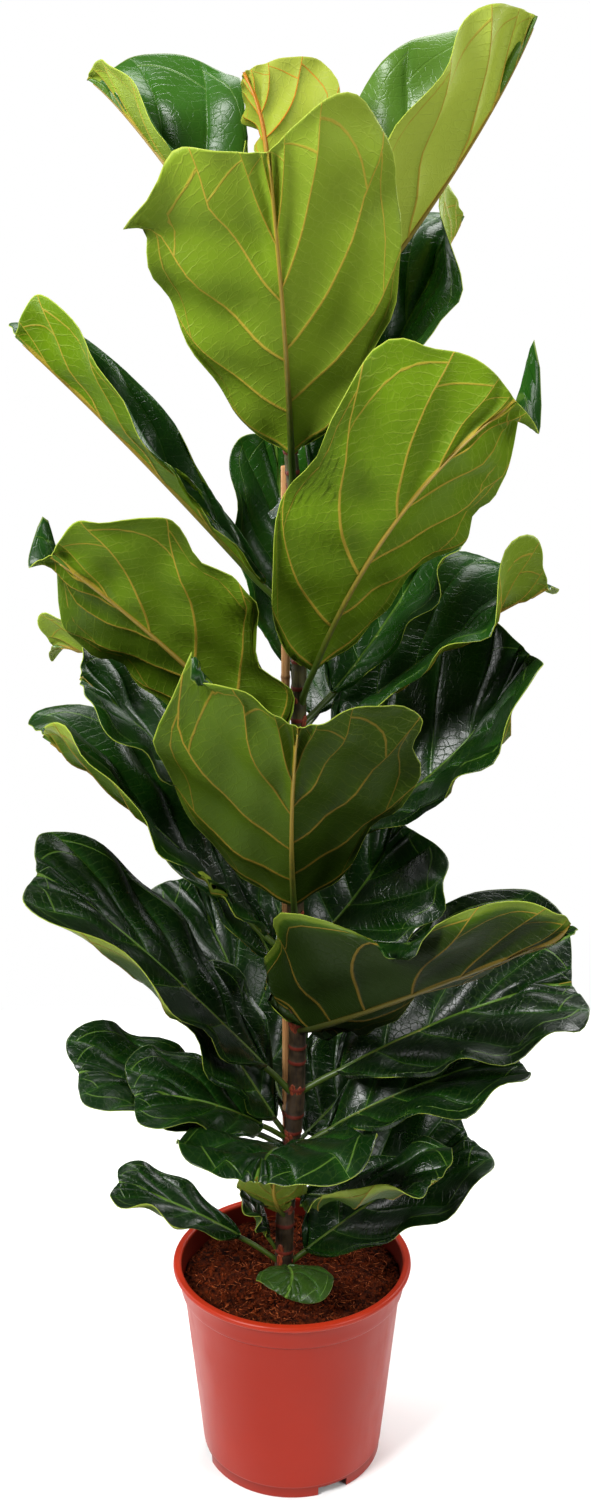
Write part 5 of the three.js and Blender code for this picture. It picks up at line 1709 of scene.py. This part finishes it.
spots, directions = [], []
for entry in LEAVES:
    away = np.array(entry["middle"][:2], float) - stem_centre(entry["height"])[:2]
    away /= np.linalg.norm(away)
    for bract_turn, drop in BRACT_TURNS_AND_DROPS:
        cos, sin = math.cos(bract_turn), math.sin(bract_turn)
        out = np.array((away[0] * cos - away[1] * sin, away[0] * sin + away[1] * cos, 0))
        foot = entry["height"] - drop
        if BRACTS_FROM < foot < BRACTS_TO:
            spots.append((stem_centre(foot) + out * (stem_radius(foot) - BRACT_PRESS)) * MM)
            directions.append(out)
spot_mesh = plain_mesh("bract_spots", np.array(spots).tolist(), [])
outwards_layer = spot_mesh.attributes.new("outwards", "FLOAT_VECTOR", "POINT")
outwards_layer.data.foreach_set("vector", np.array(directions).ravel())

bract_rule = Rule("stem_bracts", {"Smallest": 0.55, "Largest": 1.1})
spot_points = bract_rule.node("GeometryNodeMeshToPoints", {"Mesh": bract_rule.input("Geometry")})
outwards_read = bract_rule.node(
    "GeometryNodeInputNamedAttribute", {"Name": "outwards"}, output="Attribute",
    data_type="FLOAT_VECTOR")
aimed = bract_rule.node(
    "FunctionNodeAlignRotationToVector", {"Vector": outwards_read}, axis="X", pivot_axis="Z")
bract_source = bract_rule.node("GeometryNodeObjectInfo", {"Object": one_bract}, output="Geometry")
bract_size = bract_rule.random(bract_rule.input("Smallest"), bract_rule.input("Largest"), seed=31)
bract_rule.finish(bract_rule.placed(spot_points, bract_source, aimed, bract_size), bract_paint())
bracts = bract_rule.grow("stem_bracts", spot_mesh)
bpy.data.objects.remove(one_bract)
shade_smooth(bracts.data)
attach(bracts, "root")
print(len(spots), "bracts placed")

# %% [markdown]
# A thin cane stands close behind the stem. It is a straight rod with a sawn top and a swollen
# joint every 12 to 16 cm. It could be a plain cylinder, but the joints are what make it look
# like cane, so their rings swell, and the same map as on the stem darkens them.

# %% Set up the cane
CANE_CENTRE = (-5, 13.2)
CANE_RADIUS = 3.5
CANE_SHRINK = 0.05
CANE_TOP = 885
CANE_SIDES = 20
CANE_RING_STEP = 2.0
CANE_JOINTS = np.array((268, 421, 583, 716, 838))
JOINT_WIDTH = 1.6
JOINT_SWELL = 0.5
SAWN_EDGE = 0.6
CANE_SHINE = (0.42, 0.6)
STAIN_EDGES = (0.5, 0.75)
STAIN_STRENGTH = 0.5
JOINT_STRENGTH = 0.7


def cane_paint():
    """Straw-coloured cane with lengthwise streaks, a few stains and darker joints."""
    paint = Paint("cane", 0.5)
    place = paint.place()
    streak = paint.noise(paint.scaled(place, (900, 900, 25)), 1.0, 4.0, 0.6)
    color = paint.mix(paint.ramp(streak, *NOISE_RANGE), rgb(168, 108, 58), rgb(222, 172, 116))
    stain = paint.noise(paint.scaled(place, (60, 60, 20)), 1.0)
    color = paint.mix(paint.ramp(stain, *STAIN_EDGES, 0.0, STAIN_STRENGTH), color, rgb(120, 72, 40))
    joint, _, _ = paint.axes(paint.flat("veins"))
    color = paint.over(color, rgb(104, 62, 34), joint, JOINT_STRENGTH)
    shine = paint.ramp(streak, *NOISE_RANGE, *CANE_SHINE)
    return paint.finish(color, shine, paint.bump(streak, 0.35, 0.0005))


cane_heights = np.arange(SOIL_TOP - HOLE_DEPTH, CANE_TOP - SAWN_EDGE, CANE_RING_STEP)
cane_heights = np.r_[cane_heights, CANE_TOP - SAWN_EDGE, CANE_TOP]
joint_near = hill(cane_heights[:, None], CANE_JOINTS, JOINT_WIDTH).max(axis=1)
cane_path = np.array([(*CANE_CENTRE, value) for value in cane_heights])
cane_radii = CANE_RADIUS - CANE_SHRINK + JOINT_SWELL * joint_near
cane_radii[-1] -= SAWN_EDGE
cane_shape = Shape()
add_rod(cane_shape, cane_path, cane_radii, 0, joint_near, CANE_SIDES)
cane_mesh = cane_shape.mesh("cane_fine", [cane_paint()])
shade_by_angle(cane_mesh, HARD_EDGE)
add_piece("cane_fine", cane_mesh, "cane", "cane")

# %% [markdown]
# A small clear clip holds stem and cane together. It is already right as a solid, so it only
# gets its material: nearly colourless plastic that lets light through.

# %% Paint the clip
CLEAR_ROUGHNESS = 0.12
CLEAR_TRANSMISSION = 0.85
CLEAR_IOR = 1.46
CLEAR_SHINE = (0.08, 0.24)


def clip_paint():
    """Clear plastic, a little hazy from handling."""
    paint = Paint("clear_plastic", CLEAR_ROUGHNESS)
    paint.shader.inputs["Transmission Weight"].default_value = CLEAR_TRANSMISSION
    paint.shader.inputs["IOR"].default_value = CLEAR_IOR
    haze = paint.noise(paint.place(), 260.0)
    color = paint.mix(haze, rgb(222, 232, 230), rgb(248, 252, 250))
    shine = paint.ramp(haze, *NOISE_RANGE, *CLEAR_SHINE)
    return paint.finish(color, shine, paint.bump(haze, 0.2, 0.0003))


clear_plastic = clip_paint()
for material_slot in bpy.data.objects["clip"].material_slots:
    material_slot.material = clear_plastic
print("clip painted:", clear_plastic.name)
